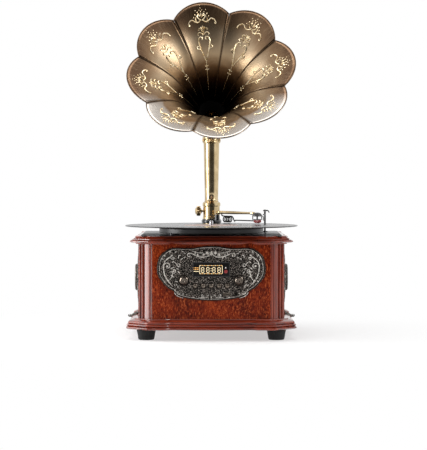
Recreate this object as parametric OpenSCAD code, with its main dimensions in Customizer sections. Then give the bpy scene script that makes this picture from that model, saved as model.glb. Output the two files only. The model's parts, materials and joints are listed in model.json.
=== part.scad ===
// Record player with a flower horn, on a wooden cabinet.
// Millimetres. X runs to the right, Y away from the front and Z up.
// The origin is on the floor, under the middle of the whole object's box.

/* [Cabinet] */
// Width of the panelled body
body_w = 250; // [240:1:264]
// Depth of the panelled body
body_d = 288; // [284:1:300]
// Height of the panelled body
body_h = 127; // [122:1:150]
// Thickness of the wooden walls
wall_t = 9; // [8:0.5:10]
// How far each corner is cut back, measured along X
corner_cut = 24; // [21:1:27]
// Number of reeds on each corner
reed_count = 5; // [3:1:6]
// Width of one reed
reed_d = 4.7; // [3.5:0.1:5]
// Thickness of the moulded base board
plinth_h = 18; // [16:1:24]
// How far the base board stands out from the body
plinth_out = 21; // [16:0.5:22]
// Thickness of the moulded top board
top_h = 14; // [12:1:18]
// How far the top board stands out from the body
top_out = 14.75; // [12:0.25:16]
// Depth of the hollow beside each corner in the moulded edges
edge_hollow = 6; // [3:0.5:8]
// Thickness of the deck plate let into the top board
deck_t = 2; // [1.5:0.5:3]
// Height of a rubber foot
foot_h = 18; // [14:1:24]
// Diameter of a foot at its top
foot_d = 33; // [26:1:34]

/* [Front plate and controls] */
// Width of the cast front plate
plate_w = 185; // [175:1:195]
// Height of the cast front plate
plate_h = 93; // [90:1:100]
// Thickness of its flat ground
plate_t = 3; // [2.5:0.5:4]
// How far its ornament stands out from the ground
relief_h = 2.4; // [1.5:0.1:3]
// Width of the display window
window_w = 61.5; // [54:0.5:64]
// Height of the display window
window_h = 23.5; // [20:0.5:25]
// Distance of each knob from the middle
knob_x = 47; // [45:0.5:50]
// Diameter of a knob
knob_d = 14; // [12:0.5:16]
// Distance between two buttons
button_pitch = 13.6; // [12.5:0.1:14]
// Diameter of a button
button_d = 7.6; // [6:0.2:8.4]
// How far a button travels
button_travel = 1.5; // [1:0.1:1.8]
// Diameter of the hole of the round audio jack
jack_d = 3.6; // [3.5:0.05:3.8]

/* [Turntable] */
// Diameter of the record
record_d = 301.6; // [296:0.2:303]
// How far the spindle lies ahead of the cabinet's middle
spindle_ahead = 46; // [44:1:50]
// Diameter of the platter
platter_d = 182; // [174:1:182]
// Height of the platter
platter_h = 9; // [8:0.5:12]
// Thickness of the platter mat
mat_t = 2.5; // [2:0.5:4]
// Diameter of the spindle where it holds the record
spindle_d = 7.14; // [7:0.02:7.2]
// Diameter of the motor pulley
pulley_d = 12; // [10:0.5:14]

/* [Horn] */
// Diameter across the petal tips
horn_d = 301; // [280:1:301]
// Length of the bell along its axis
horn_len = 140; // [130:1:150]
// How far the bell's axis tilts up from level
horn_tilt = 33.5; // [28:0.5:40]
// Number of petals
petal_count = 8; // [6:1:10]
// How far the middle of each petal's rim stands forward of its seams
petal_bow = 7; // [0:1:10]
// How far the petals are turned about the bell's axis
petal_turn = 8.5; // [0:0.5:20]
// Thickness of the sheet metal
horn_t = 1.2; // [1:0.1:2]
// Radius of the elbow
elbow_r = 45; // [38:1:55]
// Height of the stem's top above the deck
stem_h = 173; // [160:1:190]
// Diameter of the stem at its top
stem_d = 29.6; // [26:0.2:30]
// Diameter of the stem where it leaves the socket
stem_foot_d = 24.4; // [23.4:0.2:26]
// Diameter of the brass socket
socket_d = 33; // [32:0.5:35]
// Diameter of the black stem base
base_d = 38; // [37:0.5:39]

/* [Tonearm] */
// Length from the pivot to the stylus
arm_len = 115; // [112:1:120]
// Direction of the arm at rest, seen from above
arm_angle = -50.6; // [-54:0.2:-48]
// Diameter of the arm's tube
arm_d = 4.4; // [4:0.1:4.8]
// How far the arm swings out to its rest
swing_out = 32; // [31:0.5:36]
// Diameter of the coiled lead
lead_d = 2.2; // [1.6:0.1:2.4]
// Number of turns in the coiled lead
lead_turns = 4; // [3:1:5]

/* [Hidden] */
$fn = 64;
run_gap = 0.05;
slip_gap = 0.2;
free_gap = 0.3;

half_w = body_w / 2;
half_d = body_d / 2;
z_plinth = foot_h;
z_body = z_plinth + plinth_h;
z_top = z_body + body_h;
z_deck = z_top + top_h;
deck_w = body_w - 8;
deck_d = body_d - 10;
foot_recess = 8;
screw_r = 1.9;
screw_head_r = 4;

spin_y = -spindle_ahead;
platter_lift = 2.5;
z_platter = z_deck + platter_lift;
z_mat = z_platter + platter_h;
z_record = z_mat + mat_t;
record_t = 2;
z_groove = z_record + record_t;
record_hole_r = 3.65;
spindle_r = 3;
spindle_tip_h = 8;
bearing_r = 8;
bearing_len = 22;
z_belt = z_platter + 1.6;
motor_h = 22;

stem_gap = 2.2;
stem_y = spin_y + record_d / 2 + stem_gap + base_d / 2;
base_h = 20.3;
bracket_t = 2;
z_bracket = z_deck + base_h;
z_socket = z_bracket + bracket_t;
socket_h = 31;
z_collar = z_socket + socket_h;
screw_z = z_collar - 16.5;
shank_r = 10.5;
shank_len = 25;
z_stem_top = z_deck + stem_h;
crown_h = 12;
crown_t = 1.6;
bend = 90 - horn_tilt;
neck_r = stem_d / 2 - horn_t;
mouth_r = horn_d / 2;
petal_start = 0.12;
seam_half = 180 / petal_count;
petal_rows = 10;
petal_cols = 6;

front_reach = max(-spin_y + record_d / 2, half_d + plinth_out);
rear_reach = half_d + plinth_out;
cab_y = (front_reach - rear_reach) / 2;

// Places on the front plate: X from the middle, Z above the floor
plate_z = z_body + 78;
window_z = plate_z + 6.3;
knob_z = plate_z - 12;
button_z = plate_z - 21;
socket_z = plate_z - 35.4;
usb_x = 26.4;
jack_x = 42;
button_count = 5;
y_front = -half_d;
y_plate = y_front - plate_t;
y_board = y_front + wall_t + 6.5;
board_t = 1.6;
window_t = 1.5;
lcd_w = window_w - 5.5;
lcd_h = window_h - 3;
usb_w = 13.2;
usb_h = 5.7;
jack_r = 4;
knob_len = 9.2;
knob_lift = 0.8;
shaft_r = 3;
bush_r = 4.2;
switch_h = 4.3;
cap_lift = 2.8;

// The belt's pulley stands in the platter's hollow, between its wall and the rim that the belt drives
platter_wall = 3;
pulley_room = 8;
pulley_angle = 200;
belt_t = 1.2;
belt_h = 4;
pulley_off = platter_d / 2 - platter_wall - pulley_room - pulley_d / 2;
belt_rim_d = 2 * (pulley_off - pulley_d / 2 - pulley_room);
pulley_x = pulley_off * cos(pulley_angle);
pulley_y = spin_y + pulley_off * sin(pulley_angle);

// The arm's own frame: its X runs from the pivot to the stylus
arm_x = 10.5;
arm_y = stem_y - 25;
z_hinge = z_bracket + 14.7;
housing_r = 4.5;
housing_h = 10.5;
pin_r = 1.5;
hinge_r = 1;
shell_r = 9;
shell_at = arm_len - 3;
z_shell = z_hinge - 5.5;
rest_along = 89.8;
rest_r = 1.8;
rest_side = arm_d / 2 + rest_r + 0.5;
clip_lift = 0.4;
coil_from = 20;
coil_to = 40;
coil_r = 5.2;
z_coil = z_groove + 1 + coil_r + lead_d / 2;
z_wire = z_coil - 1.8;
z_lead_top = z_hinge - arm_d / 2 - 0.05;
lead_end = arm_len - 8.5 - 0.05;
lead_rings = 16;

speaker_z = z_body + body_h / 2;
speaker_r = 33;
speaker_hole_r = 27;
cloth_t = 0.6;
grille_h = 84;
grille_w = 128;
grille_t = 3;

rear_z = z_body + 44;
rear_w = 96;
rear_h = 44;
rear_t = 2;
switch_x = 24;
switch_w = 18.8;
rocker_tilt = 9;

// The outline of a moulded board, from the front middle to the middle of the right side.
// Each half edge bows in the middle, sinks beside the corner and ends in a flat pedestal.
pedestal = 19;
ogee = 16;
bow_drop = 1;
tan22 = tan(22.5);

function edge_sink(s, flat_end) =
    let (
        start = flat_end - pedestal,
        hollow = start - ogee
    )
    s >= start ? 0
    : s >= hollow ? edge_hollow * (1 - cos(180 * (start - s) / ogee)) / 2
    : bow_drop + (edge_hollow - bow_drop) * pow(s / hollow, 2);

function edge_stops(flat_end) =
    let (
        start = flat_end - pedestal,
        hollow = start - ogee
    )
    [0, hollow * 0.4, hollow * 0.75, hollow, start - ogee * 2 / 3, start - ogee / 3, start];

function board_quarter(out) =
    let (
        front_end = half_w - corner_cut,
        side_end = half_d - corner_cut
    )
    concat(
        [for (s = edge_stops(front_end)) [s, -(half_d + out - edge_sink(s, front_end))]],
        [[front_end + out * tan22, -(half_d + out)], [half_w + out, -(side_end + out * tan22)]],
        [for (i = [6:-1:0])
            let (s = edge_stops(side_end)[i])
            [half_w + out - edge_sink(s, side_end), -s]]
    );

function board_outline(out) =
    let (
        q = board_quarter(out),
        n = len(q)
    )
    concat(
        q,
        [for (i = [n - 2:-1:0]) [q[i][0], -q[i][1]]],
        [for (i = [1:n - 1]) [-q[i][0], -q[i][1]]],
        [for (i = [n - 2:-1:1]) [-q[i][0], q[i][1]]]
    );

// Height and reach of each moulding's profile, as shares of the board's thickness and reach
plinth_profile = [
    [0, 0.87], [0.05, 0.96], [0.15, 1], [0.25, 0.95], [0.3, 0.86], [0.38, 0.93], [0.47, 0.94],
    [0.55, 0.82], [0.61, 0.87], [0.76, 0.8], [0.9, 0.58], [1, 0.3]
];
top_profile = [
    [0, 0.3], [0.15, 0.33], [0.17, 0.72], [0.25, 0.93], [0.4, 1], [0.55, 0.93], [0.63, 0.74],
    [0.67, 0.45], [0.82, 0.27], [1, 0.17]
];

// A solid board whose edge follows a profile
module moulded_board(profile, reach, thick) {
    loops = [for (p = profile) board_outline(reach * p[1])];
    n = len(loops[0]);
    m = len(profile);
    points = concat(
        [for (j = [0:m - 1]) for (p = loops[j]) [p[0], p[1], thick * profile[j][0]]],
        [[0, 0, 0], [0, 0, thick]]
    );
    faces = concat(
        [for (j = [0:m - 2]) for (i = [0:n - 1])
            let (k = (i + 1) % n)
            each [[j * n + i, (j + 1) * n + i, (j + 1) * n + k], [j * n + i, (j + 1) * n + k, j * n + k]]],
        [for (i = [0:n - 1]) [m * n, i, (i + 1) % n]],
        [for (i = [0:n - 1]) [m * n + 1, (m - 1) * n + (i + 1) % n, (m - 1) * n + i]]
    );
    polyhedron(points = points, faces = faces);
}

// Children are placed in the cabinet's frame, whose origin is under the cabinet's middle
module in_cabinet() {
    translate([0, cab_y, 0]) children();
}

module at_foot(sx, sy) {
    in_cabinet() translate([sx * (half_w - 14), sy * (half_d - 17), 0]) children();
}

module foot(sx, sy) {
    color("#1c1c1d")
    at_foot(sx, sy) difference() {
        cylinder(r1 = foot_d / 2 - 3, r2 = foot_d / 2, h = foot_h);
        translate([0, 0, -1]) cylinder(r = screw_head_r + 0.5, h = foot_recess + 1);
        translate([0, 0, -1]) cylinder(r = screw_r + slip_gap, h = foot_h + 2);
    }
}

module foot_screws() {
    color("#8f9094")
    for (sx = [-1, 1]) for (sy = [-1, 1]) at_foot(sx, sy) {
        translate([0, 0, foot_recess - 3]) cylinder(r = screw_head_r, h = 3);
        translate([0, 0, foot_recess]) cylinder(r = screw_r, h = foot_h - foot_recess + plinth_h * 0.6);
    }
}

module plinth() {
    color("#7a2c12")
    difference() {
        in_cabinet() translate([0, 0, z_plinth]) moulded_board(plinth_profile, plinth_out, plinth_h);
        for (sx = [-1, 1]) for (sy = [-1, 1]) at_foot(sx, sy)
            translate([0, 0, z_plinth - 1]) cylinder(r = screw_r + run_gap, h = plinth_h * 0.6 + 1.5);
    }
}

module top_board() {
    color("#7a2c12")
    difference() {
        in_cabinet() translate([0, 0, z_top]) moulded_board(top_profile, top_out, top_h);
        in_cabinet() translate([-deck_w / 2 - slip_gap, -deck_d / 2 - slip_gap, z_deck - deck_t])
            cube([deck_w + 2 * slip_gap, deck_d + 2 * slip_gap, deck_t + 1]);
        in_cabinet() translate([0, spin_y, z_top - 1]) cylinder(r = bearing_r + free_gap, h = top_h);
        in_cabinet() translate([pulley_x, pulley_y, z_top - 1]) cylinder(r = 5, h = top_h);
    }
}

module deck_plate() {
    color("#2a2b2e")
    in_cabinet() difference() {
        translate([-deck_w / 2, -deck_d / 2, z_deck - deck_t]) cube([deck_w, deck_d, deck_t]);
        translate([0, spin_y, z_deck - deck_t - 1]) cylinder(r = bearing_r + slip_gap, h = deck_t + 2);
        translate([pulley_x, pulley_y, z_deck - deck_t - 1]) cylinder(r = 5, h = deck_t + 2);
    }
}

module front_panel() {
    color("#8c3414")
    in_cabinet() difference() {
        translate([corner_cut - half_w, y_front, z_body]) cube([body_w - 2 * corner_cut, wall_t, body_h]);
        translate([-lcd_w / 2 - 1, y_front - 1, window_z - lcd_h / 2 - 1]) cube([lcd_w + 2, wall_t + 2, lcd_h + 2]);
        for (s = [-1, 1]) through_panel(s * knob_x, knob_z) cylinder(r = bush_r + slip_gap, h = wall_t + 2);
        for (i = [0:button_count - 1])
            through_panel(button_at(i), button_z) cylinder(r = button_d / 2 + 1.6, h = wall_t + 2);
        translate([usb_x - usb_w / 2 - slip_gap, y_front - 1, socket_z - usb_h / 2 - slip_gap])
            cube([usb_w + 2 * slip_gap, wall_t + 2, usb_h + 2 * slip_gap]);
        through_panel(jack_x, socket_z) cylinder(r = jack_r + slip_gap, h = wall_t + 2);
    }
}

function button_at(i) = (i - (button_count - 1) / 2) * button_pitch;

module through_panel(x, z) {
    translate([x, y_front - 1, z]) rotate([-90, 0, 0]) children();
}

module back_panel() {
    color("#8c3414")
    in_cabinet() difference() {
        translate([corner_cut - half_w, half_d - wall_t, z_body]) cube([body_w - 2 * corner_cut, wall_t, body_h]);
        for (x = [[-rear_w / 2 + 6, 4], [10, rear_w / 2 - 6]])
            translate([x[0], half_d - wall_t - 1, rear_z - rear_h / 2 + 8])
                cube([x[1] - x[0], wall_t + 2, rear_h - 16]);
    }
}

module side_panel(s) {
    color("#8c3414")
    in_cabinet() difference() {
        translate([s > 0 ? half_w - wall_t : -half_w, corner_cut - half_d, z_body])
            cube([wall_t, body_d - 2 * corner_cut, body_h]);
        translate([s * (half_w + 1), 0, speaker_z]) rotate([0, -s * 90, 0])
            cylinder(r = speaker_hole_r, h = wall_t + 2);
    }
}

// One slanted corner with its reeds, at the front right
module corner_post() {
    e = half_w - corner_cut;
    f = half_d - corner_cut;
    reed_gap = corner_cut * sqrt(2) / (reed_count + 2);
    pitch = min(max(reed_gap, reed_d), corner_cut * sqrt(2) / (reed_count + 0.5));
    linear_extrude(height = body_h)
        polygon([[e, -half_d], [half_w, -f], [half_w - wall_t, -f], [e, wall_t - half_d]]);
    for (i = [0:reed_count - 1])
        let (t = (i - (reed_count - 1) / 2) * pitch / sqrt(2))
        translate([half_w - corner_cut / 2 + t, corner_cut / 2 - half_d + t, 0])
            cylinder(d = min(reed_d, pitch), h = body_h);
}

module corner_posts() {
    color("#7a2c12")
    in_cabinet() translate([0, 0, z_body]) for (m = [0, 1]) for (n = [0, 1])
        mirror([m, 0, 0]) mirror([0, n, 0]) corner_post();
}

// Half of the front plate's outline, from the top middle to the bottom middle, as shares of its half size
plate_half = [
    [0, 1], [0.2, 0.97], [0.33, 0.91], [0.5, 0.905], [0.66, 0.93], [0.77, 0.905], [0.87, 0.77], [0.955, 0.61],
    [0.985, 0.4], [1, 0.19], [0.995, 0], [0.965, -0.16], [0.87, -0.4], [0.78, -0.575], [0.7, -0.615],
    [0.665, -0.75], [0.6, -0.84], [0.43, -0.92], [0.2, -0.98], [0, -1]
];

module plate_outline(k = 1) {
    half = [for (p = plate_half) [p[0] * plate_w / 2 * k, p[1] * plate_h / 2 * k]];
    n = len(half);
    polygon(concat(half, [for (i = [n - 2:-1:1]) [-half[i][0], half[i][1]]]));
}

// A raised C-scroll: an arc of round bar, on the plate's ground
module c_scroll(x, z, r, bar, from, sweep) {
    translate([x, z, 0]) rotate([0, 0, from]) rotate_extrude(angle = sweep) translate([r, 0]) circle(r = bar);
    for (a = [from, from + sweep]) translate([x + r * cos(a), z + r * sin(a), 0]) sphere(r = bar * 1.3);
}

// Ornament of the right half of the plate, in its own plane
module half_ornament() {
    bar = relief_h * 0.75;
    w = plate_w / 2;
    h = plate_h / 2;
    c_scroll(w * 0.83, h * 0.2, h * 0.24, bar, -150, 300);
    c_scroll(w * 0.68, h * 0.56, h * 0.16, bar, 20, 250);
    c_scroll(w * 0.8, -h * 0.3, h * 0.13, bar, 120, 260);
    c_scroll(w * 0.2, h * 0.72, h * 0.12, bar, 30, 260);
    c_scroll(w * 0.43, h * 0.72, h * 0.1, bar, 200, 260);
    c_scroll(w * 0.14, -h * 0.84, h * 0.08, bar, -60, 280);
}

module faceplate() {
    color("#4a4038")
    in_cabinet() difference() {
        translate([0, y_front, plate_z]) rotate([90, 0, 0]) union() {
            linear_extrude(height = plate_t) plate_outline();
            linear_extrude(height = plate_t + relief_h * 0.6) difference() {
                plate_outline();
                plate_outline(0.945);
            }
            translate([0, 0, plate_t]) half_ornament();
            mirror([1, 0, 0]) translate([0, 0, plate_t]) half_ornament();
        }
        translate([-lcd_w / 2 - slip_gap, y_plate - 5, window_z - lcd_h / 2 - slip_gap])
            cube([lcd_w + 2 * slip_gap, plate_t + 6, lcd_h + 2 * slip_gap]);
        translate([-window_w / 2 - slip_gap, y_plate - 5, window_z - window_h / 2 - slip_gap])
            cube([window_w + 2 * slip_gap, 5 + window_t, window_h + 2 * slip_gap]);
        for (s = [-1, 1]) translate([0, -5, 0]) through_panel(s * knob_x, knob_z)
            cylinder(r = bush_r + slip_gap, h = plate_t + 8);
        for (i = [0:button_count - 1]) translate([0, -5, 0]) through_panel(button_at(i), button_z)
            cylinder(r = button_d / 2 + slip_gap, h = plate_t + 8);
        translate([usb_x - usb_w / 2 - slip_gap, y_plate - 5, socket_z - usb_h / 2 - slip_gap])
            cube([usb_w + 2 * slip_gap, plate_t + 6, usb_h + 2 * slip_gap]);
        translate([0, -5, 0]) through_panel(jack_x, socket_z) cylinder(r = jack_r + slip_gap, h = plate_t + 8);
        translate([-plate_w, y_front, plate_z - plate_h]) cube([2 * plate_w, 10, 2 * plate_h]);
    }
}

module display_window() {
    color("#0c0c0f")
    in_cabinet() translate([-window_w / 2, y_plate, window_z - window_h / 2]) cube([window_w, window_t, window_h]);
}

module display_module() {
    color("#23262b")
    in_cabinet() translate([-lcd_w / 2, y_plate + window_t, window_z - lcd_h / 2])
        cube([lcd_w, y_board - y_plate - window_t, lcd_h]);
}

module turning_knob(s) {
    color("#c9a45a")
    in_cabinet() translate([s * knob_x, y_plate - knob_lift, knob_z]) rotate([90, 0, 0]) {
        rotate_extrude() polygon([
            [0, 0], [knob_d / 2, 0], [knob_d / 2, knob_len * 0.7], [knob_d / 2 - 1, knob_len * 0.9],
            [knob_d / 2 - 2.4, knob_len], [0, knob_len]
        ]);
        rotate([180, 0, 0]) cylinder(r = shaft_r, h = knob_lift + plate_t + wall_t + 5);
    }
}

module encoders() {
    color("#9a9ca0")
    in_cabinet() for (s = [-1, 1]) difference() {
        union() {
            translate([s * knob_x - 6, y_front + wall_t, knob_z - 6]) cube([12, y_board - y_front - wall_t, 12]);
            through_panel(s * knob_x, knob_z) translate([0, 0, 1]) cylinder(r = bush_r, h = wall_t + 1);
        }
        through_panel(s * knob_x, knob_z) translate([0, 0, -5]) cylinder(r = shaft_r + run_gap, h = wall_t + 11.5);
    }
}

module button(i) {
    stem_len = y_board - switch_h - button_travel - free_gap - y_front;
    color("#b39a66")
    in_cabinet() translate([button_at(i - 1), y_front, button_z]) rotate([90, 0, 0]) {
        translate([0, 0, -0.5]) cylinder(d = button_d, h = plate_t + cap_lift + 0.5);
        translate([0, 0, -2]) cylinder(r = button_d / 2 + 1, h = 2 - free_gap);
        translate([0, 0, -stem_len]) cylinder(r = 1.8, h = stem_len - 1);
    }
}

module usb_socket() {
    slot_w = 12;
    slot_h = 4.5;
    color("#b9bcc2")
    in_cabinet() translate([usb_x, y_plate, socket_z]) difference() {
        translate([-usb_w / 2, 0, -usb_h / 2]) cube([usb_w, y_board - y_plate, usb_h]);
        difference() {
            translate([-slot_w / 2, -1, -slot_h / 2]) cube([slot_w, 13, slot_h]);
            translate([-slot_w / 2 + 0.8, 1.5, -0.2]) cube([slot_w - 1.6, 12, 1.8]);
        }
    }
}

module aux_socket() {
    color("#b9bcc2")
    in_cabinet() translate([jack_x, y_plate - 0.6, socket_z]) rotate([-90, 0, 0]) difference() {
        cylinder(r = jack_r, h = y_board - y_plate + 0.6);
        translate([0, 0, -1]) cylinder(d = jack_d, h = 16);
    }
}

module control_board() {
    color("#1f5a38")
    in_cabinet() {
        translate([-knob_x - 12, y_board, socket_z - 6]) cube([2 * knob_x + 24, board_t, window_z - socket_z + 18]);
        for (i = [0:button_count - 1])
            translate([button_at(i) - 3, y_board - switch_h, button_z - 3]) cube([6, switch_h, 6]);
        translate([-14, y_board + board_t, window_z - 20]) cube([28, 2.5, 20]);
        translate([26, y_board + board_t, window_z - 18]) cube([10, 8, 14]);
    }
}

// A plane on one side of the body: its Z runs outwards and its X runs down
module on_side(s) {
    in_cabinet() mirror([s < 0 ? 1 : 0, 0, 0]) translate([half_w, 0, speaker_z]) rotate([0, 90, 0]) children();
}

// Cast side ornament over the speaker, which swells out to a ring and a boss
module side_grille(s) {
    swell = 8.5;
    ring_r = 22;
    color("#4a4038")
    on_side(s) difference() {
        union() {
            linear_extrude(height = grille_t) intersection() {
                square([grille_h, grille_w], center = true);
                union() {
                    circle(r = 40);
                    for (a = [0:30:330]) rotate([0, 0, a])
                        translate([31 + 19 * abs(sin(a)), 0]) circle(r = 13);
                }
            }
            rotate_extrude() polygon([
                [0, 0], [ring_r + 5, 0], [ring_r + 3, grille_t + 2], [ring_r, swell - 1], [6, swell], [0, swell]
            ]);
            translate([0, 0, swell - 1]) rotate_extrude() translate([ring_r - 1, 0]) circle(r = 2.6);
            translate([0, 0, swell - 2]) sphere(r = 5);
            for (a = [0:45:315]) rotate([0, 0, a]) translate([33, 0, grille_t]) sphere(r = 3.4);
        }
        translate([0, 0, -60]) cylinder(r = grille_w, h = 60);
        translate([0, 0, -1]) cylinder(r = speaker_hole_r + 2 + slip_gap, h = 1 + cloth_t);
        for (a = [0:45:315]) rotate([0, 0, a]) translate([9.5, 0, -1]) cylinder(r = 2.6, h = 2 * swell);
        for (a = [0:30:330]) rotate([0, 0, a]) translate([16, 0, -1]) cylinder(r = 3, h = 2 * swell);
    }
}

// Cast leaves that lie over the base board's edge, at the middle of each side
module side_leaves() {
    inner = [for (i = [5:len(plinth_profile) - 1])
        let (q = plinth_profile[i])
        [half_w - bow_drop + plinth_out * q[1] + free_gap, z_plinth + plinth_h * q[0] + free_gap]];
    n = len(inner);
    section = concat(
        inner,
        [[half_w, z_body + free_gap], [half_w, z_body + 9], [half_w + 2, z_body + 9], [half_w + 4, z_body + 3]],
        [for (i = [n - 1:-1:0]) inner[i] + [2, 1.6]]
    );
    color("#4a4038")
    in_cabinet() for (m = [0, 1]) mirror([m, 0, 0]) difference() {
        translate([0, 14, 0]) rotate([90, 0, 0]) linear_extrude(height = 28) polygon(section);
        for (t = [-1, 1]) translate([half_w + plinth_out + 3, t * 15, 0]) cylinder(r = 9, h = z_body + 20);
    }
}

module grille_cloth(s) {
    color("#15130f")
    in_cabinet() translate([s * half_w, 0, speaker_z]) rotate([0, s * 90, 0])
        cylinder(r = speaker_hole_r + 2, h = cloth_t);
}

module speaker(s) {
    color("#33353a")
    in_cabinet() translate([s * (half_w - wall_t), 0, speaker_z]) rotate([0, -s * 90, 0]) {
        rotate_extrude() polygon([
            [26, 0], [speaker_r, 0], [speaker_r, 2.5], [28, 2.5], [20, 16], [20, 29], [0, 29], [0, 17], [18, 17],
            [18, 15], [26, 2.5]
        ]);
        rotate_extrude() polygon([
            [0, 9.5], [5, 10.5], [25.7, 0.8], [25.7, 1.7], [6, 12], [6, 16.7], [4.6, 16.7], [4.6, 12], [0, 10.5]
        ]);
    }
}

module rear_plate() {
    color("#1b1c1f")
    in_cabinet() translate([0, half_d, rear_z]) difference() {
        translate([-rear_w / 2, 0, -rear_h / 2]) cube([rear_w, rear_t, rear_h]);
        for (x = [-34, -20]) translate([x, -1, 0]) rotate([-90, 0, 0]) cylinder(r = 4.3, h = rear_t + 2);
        translate([-6, -1, 0]) rotate([-90, 0, 0]) cylinder(r = 5.2, h = rear_t + 2);
        translate([switch_x - switch_w / 2 - free_gap, -1, -6.7]) cube([switch_w + 2 * free_gap, rear_t + 2, 13.4]);
    }
}

module rear_sockets() {
    color("#c9a45a")
    in_cabinet() translate([0, half_d, rear_z]) {
        for (x = [-34, -20]) translate([x, -4, 0]) rotate([-90, 0, 0]) difference() {
            cylinder(r = 4.1, h = 4 + rear_t + 8);
            translate([0, 0, 6]) cylinder(r = 1.7, h = 10);
        }
        translate([-6, -8, 0]) rotate([-90, 0, 0]) difference() {
            cylinder(r = 5, h = 8 + rear_t + 1);
            translate([0, 0, 2]) cylinder(r = 2.9, h = 20);
        }
    }
}

module power_switch() {
    color("#17181a")
    in_cabinet() translate([switch_x, half_d, rear_z]) rotate([rocker_tilt, 0, 0]) rotate([0, 90, 0])
        translate([0, 0, -switch_w / 2]) intersection() {
            cylinder(r = 6, h = switch_w);
            translate([-5, -2, 0]) cube([10, 7.4, switch_w]);
        }
}

// Steel spindle: a shaft in the bearing and a pin through the record
module spindle() {
    color("#c8cacd")
    in_cabinet() translate([0, spin_y, 0]) {
        translate([0, 0, z_deck - bearing_len + 3]) cylinder(r = spindle_r, h = z_mat - z_deck + bearing_len - 3);
        translate([0, 0, z_mat]) cylinder(d = spindle_d - 0.6, h = z_groove - z_mat);
        translate([0, 0, z_groove]) cylinder(d = spindle_d, h = spindle_tip_h - 2);
        translate([0, 0, z_groove + spindle_tip_h - 2]) cylinder(d1 = spindle_d, d2 = 3, h = 2);
    }
}

module bearing_bush() {
    color("#b58a45")
    in_cabinet() translate([0, spin_y, z_deck]) difference() {
        union() {
            translate([0, 0, -bearing_len]) cylinder(r = bearing_r, h = bearing_len + 0.5);
            cylinder(r = bearing_r + 3, h = 1.5);
        }
        translate([0, 0, 2 - bearing_len]) cylinder(r = spindle_r + run_gap, h = bearing_len + 2);
    }
}

module platter() {
    r = platter_d / 2;
    rim = belt_rim_d / 2;
    bore = spindle_r + run_gap;
    color("#1d1e20")
    in_cabinet() translate([0, spin_y, z_platter]) rotate_extrude() polygon([
        [bore, 0.3], [10, 0.3], [10, platter_h - 2], [rim - 3, platter_h - 2], [rim - 3, 1], [rim, 1],
        [rim, platter_h - 2], [r - platter_wall, platter_h - 2], [r - platter_wall, 0], [r - 1, 0], [r, 1],
        [r, platter_h - 1], [r - 1, platter_h], [bore, platter_h]
    ]);
}

module platter_mat() {
    r = platter_d / 2 - 1;
    color("#26272a")
    in_cabinet() translate([0, spin_y, z_mat]) difference() {
        cylinder(r = r, h = mat_t);
        translate([0, 0, -1]) cylinder(r = record_hole_r, h = mat_t + 2);
    }
}

module record() {
    color("#0d0d0e")
    in_cabinet() translate([0, spin_y, z_record]) difference() {
        cylinder(d = record_d, h = record_t);
        translate([0, 0, -1]) cylinder(r = record_hole_r, h = record_t + 2);
    }
}

module drive_belt() {
    near = belt_rim_d / 2 + free_gap;
    far = pulley_d / 2 + free_gap;
    color("#101010")
    in_cabinet() translate([0, spin_y, z_belt]) rotate([0, 0, pulley_angle]) linear_extrude(height = belt_h)
        difference() {
            hull() {
                circle(r = near + belt_t, $fn = 96);
                translate([pulley_off, 0]) circle(r = far + belt_t, $fn = 32);
            }
            hull() {
                circle(r = near, $fn = 96);
                translate([pulley_off, 0]) circle(r = far, $fn = 32);
            }
        }
}

module motor() {
    color("#8f9094")
    in_cabinet() translate([pulley_x, pulley_y, z_top - motor_h]) difference() {
        cylinder(r = 14, h = motor_h);
        translate([0, 0, 4]) cylinder(r = 1 + run_gap, h = motor_h);
    }
}

module motor_pulley() {
    color("#c9a45a")
    in_cabinet() translate([pulley_x, pulley_y, 0]) {
        translate([0, 0, z_top - motor_h + 5]) cylinder(r = 1, h = z_belt - 0.6 - z_top + motor_h - 5);
        translate([0, 0, z_belt - 0.8]) cylinder(d = pulley_d, h = belt_h + 0.9);
    }
}

// Black turned base of the stem
module stem_base() {
    r = base_d / 2;
    color("#161617")
    in_cabinet() translate([0, stem_y, z_deck]) rotate_extrude() polygon([
        [0, 0], [r, 0], [r, 3], [r - 1, 4.5], [r - 1, base_h - 4], [r - 0.4, base_h - 3], [r - 0.4, base_h - 1],
        [r - 1.2, base_h], [0, base_h]
    ]);
}

// Brass socket that holds the stem
module horn_socket() {
    r = socket_d / 2;
    bore = shank_r + run_gap;
    color("#c9a45a")
    in_cabinet() translate([0, stem_y, z_socket]) difference() {
        rotate_extrude() polygon([
            [0, 0], [r - 0.6, 0], [r - 0.6, 4], [r - 1.2, 5], [r - 1.2, socket_h - 8], [r, socket_h - 6.5],
            [r, socket_h - 2.5], [r - 1.6, socket_h], [0, socket_h]
        ]);
        translate([0, 0, socket_h - shank_len]) cylinder(r = bore, h = shank_len + 1);
        translate([0, 0, screw_z - z_socket]) rotate([0, -90, 0]) cylinder(r = 2 + run_gap, h = r + 2);
    }
}

// Knurled screw that holds the stem where it is turned, drawn loosened so that the horn can swing
module thumbscrew() {
    inner = shank_r + 4 * free_gap;
    outer = socket_d / 2 + 1.5;
    knob = 9;
    grip = 9;
    color("#c9a45a")
    in_cabinet() translate([0, stem_y, screw_z]) rotate([0, -90, 0]) {
        translate([0, 0, inner]) cylinder(r = 2, h = outer - inner + 1);
        translate([0, 0, outer]) difference() {
            cylinder(r = knob, h = grip);
            for (i = [0:17]) rotate([0, 0, i * 20]) translate([knob + 0.5, 0, -1]) cylinder(r = 1.1, h = grip + 2);
        }
        translate([0, 0, outer + grip]) cylinder(r1 = knob - 3, r2 = knob - 6, h = 2);
    }
}

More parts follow.
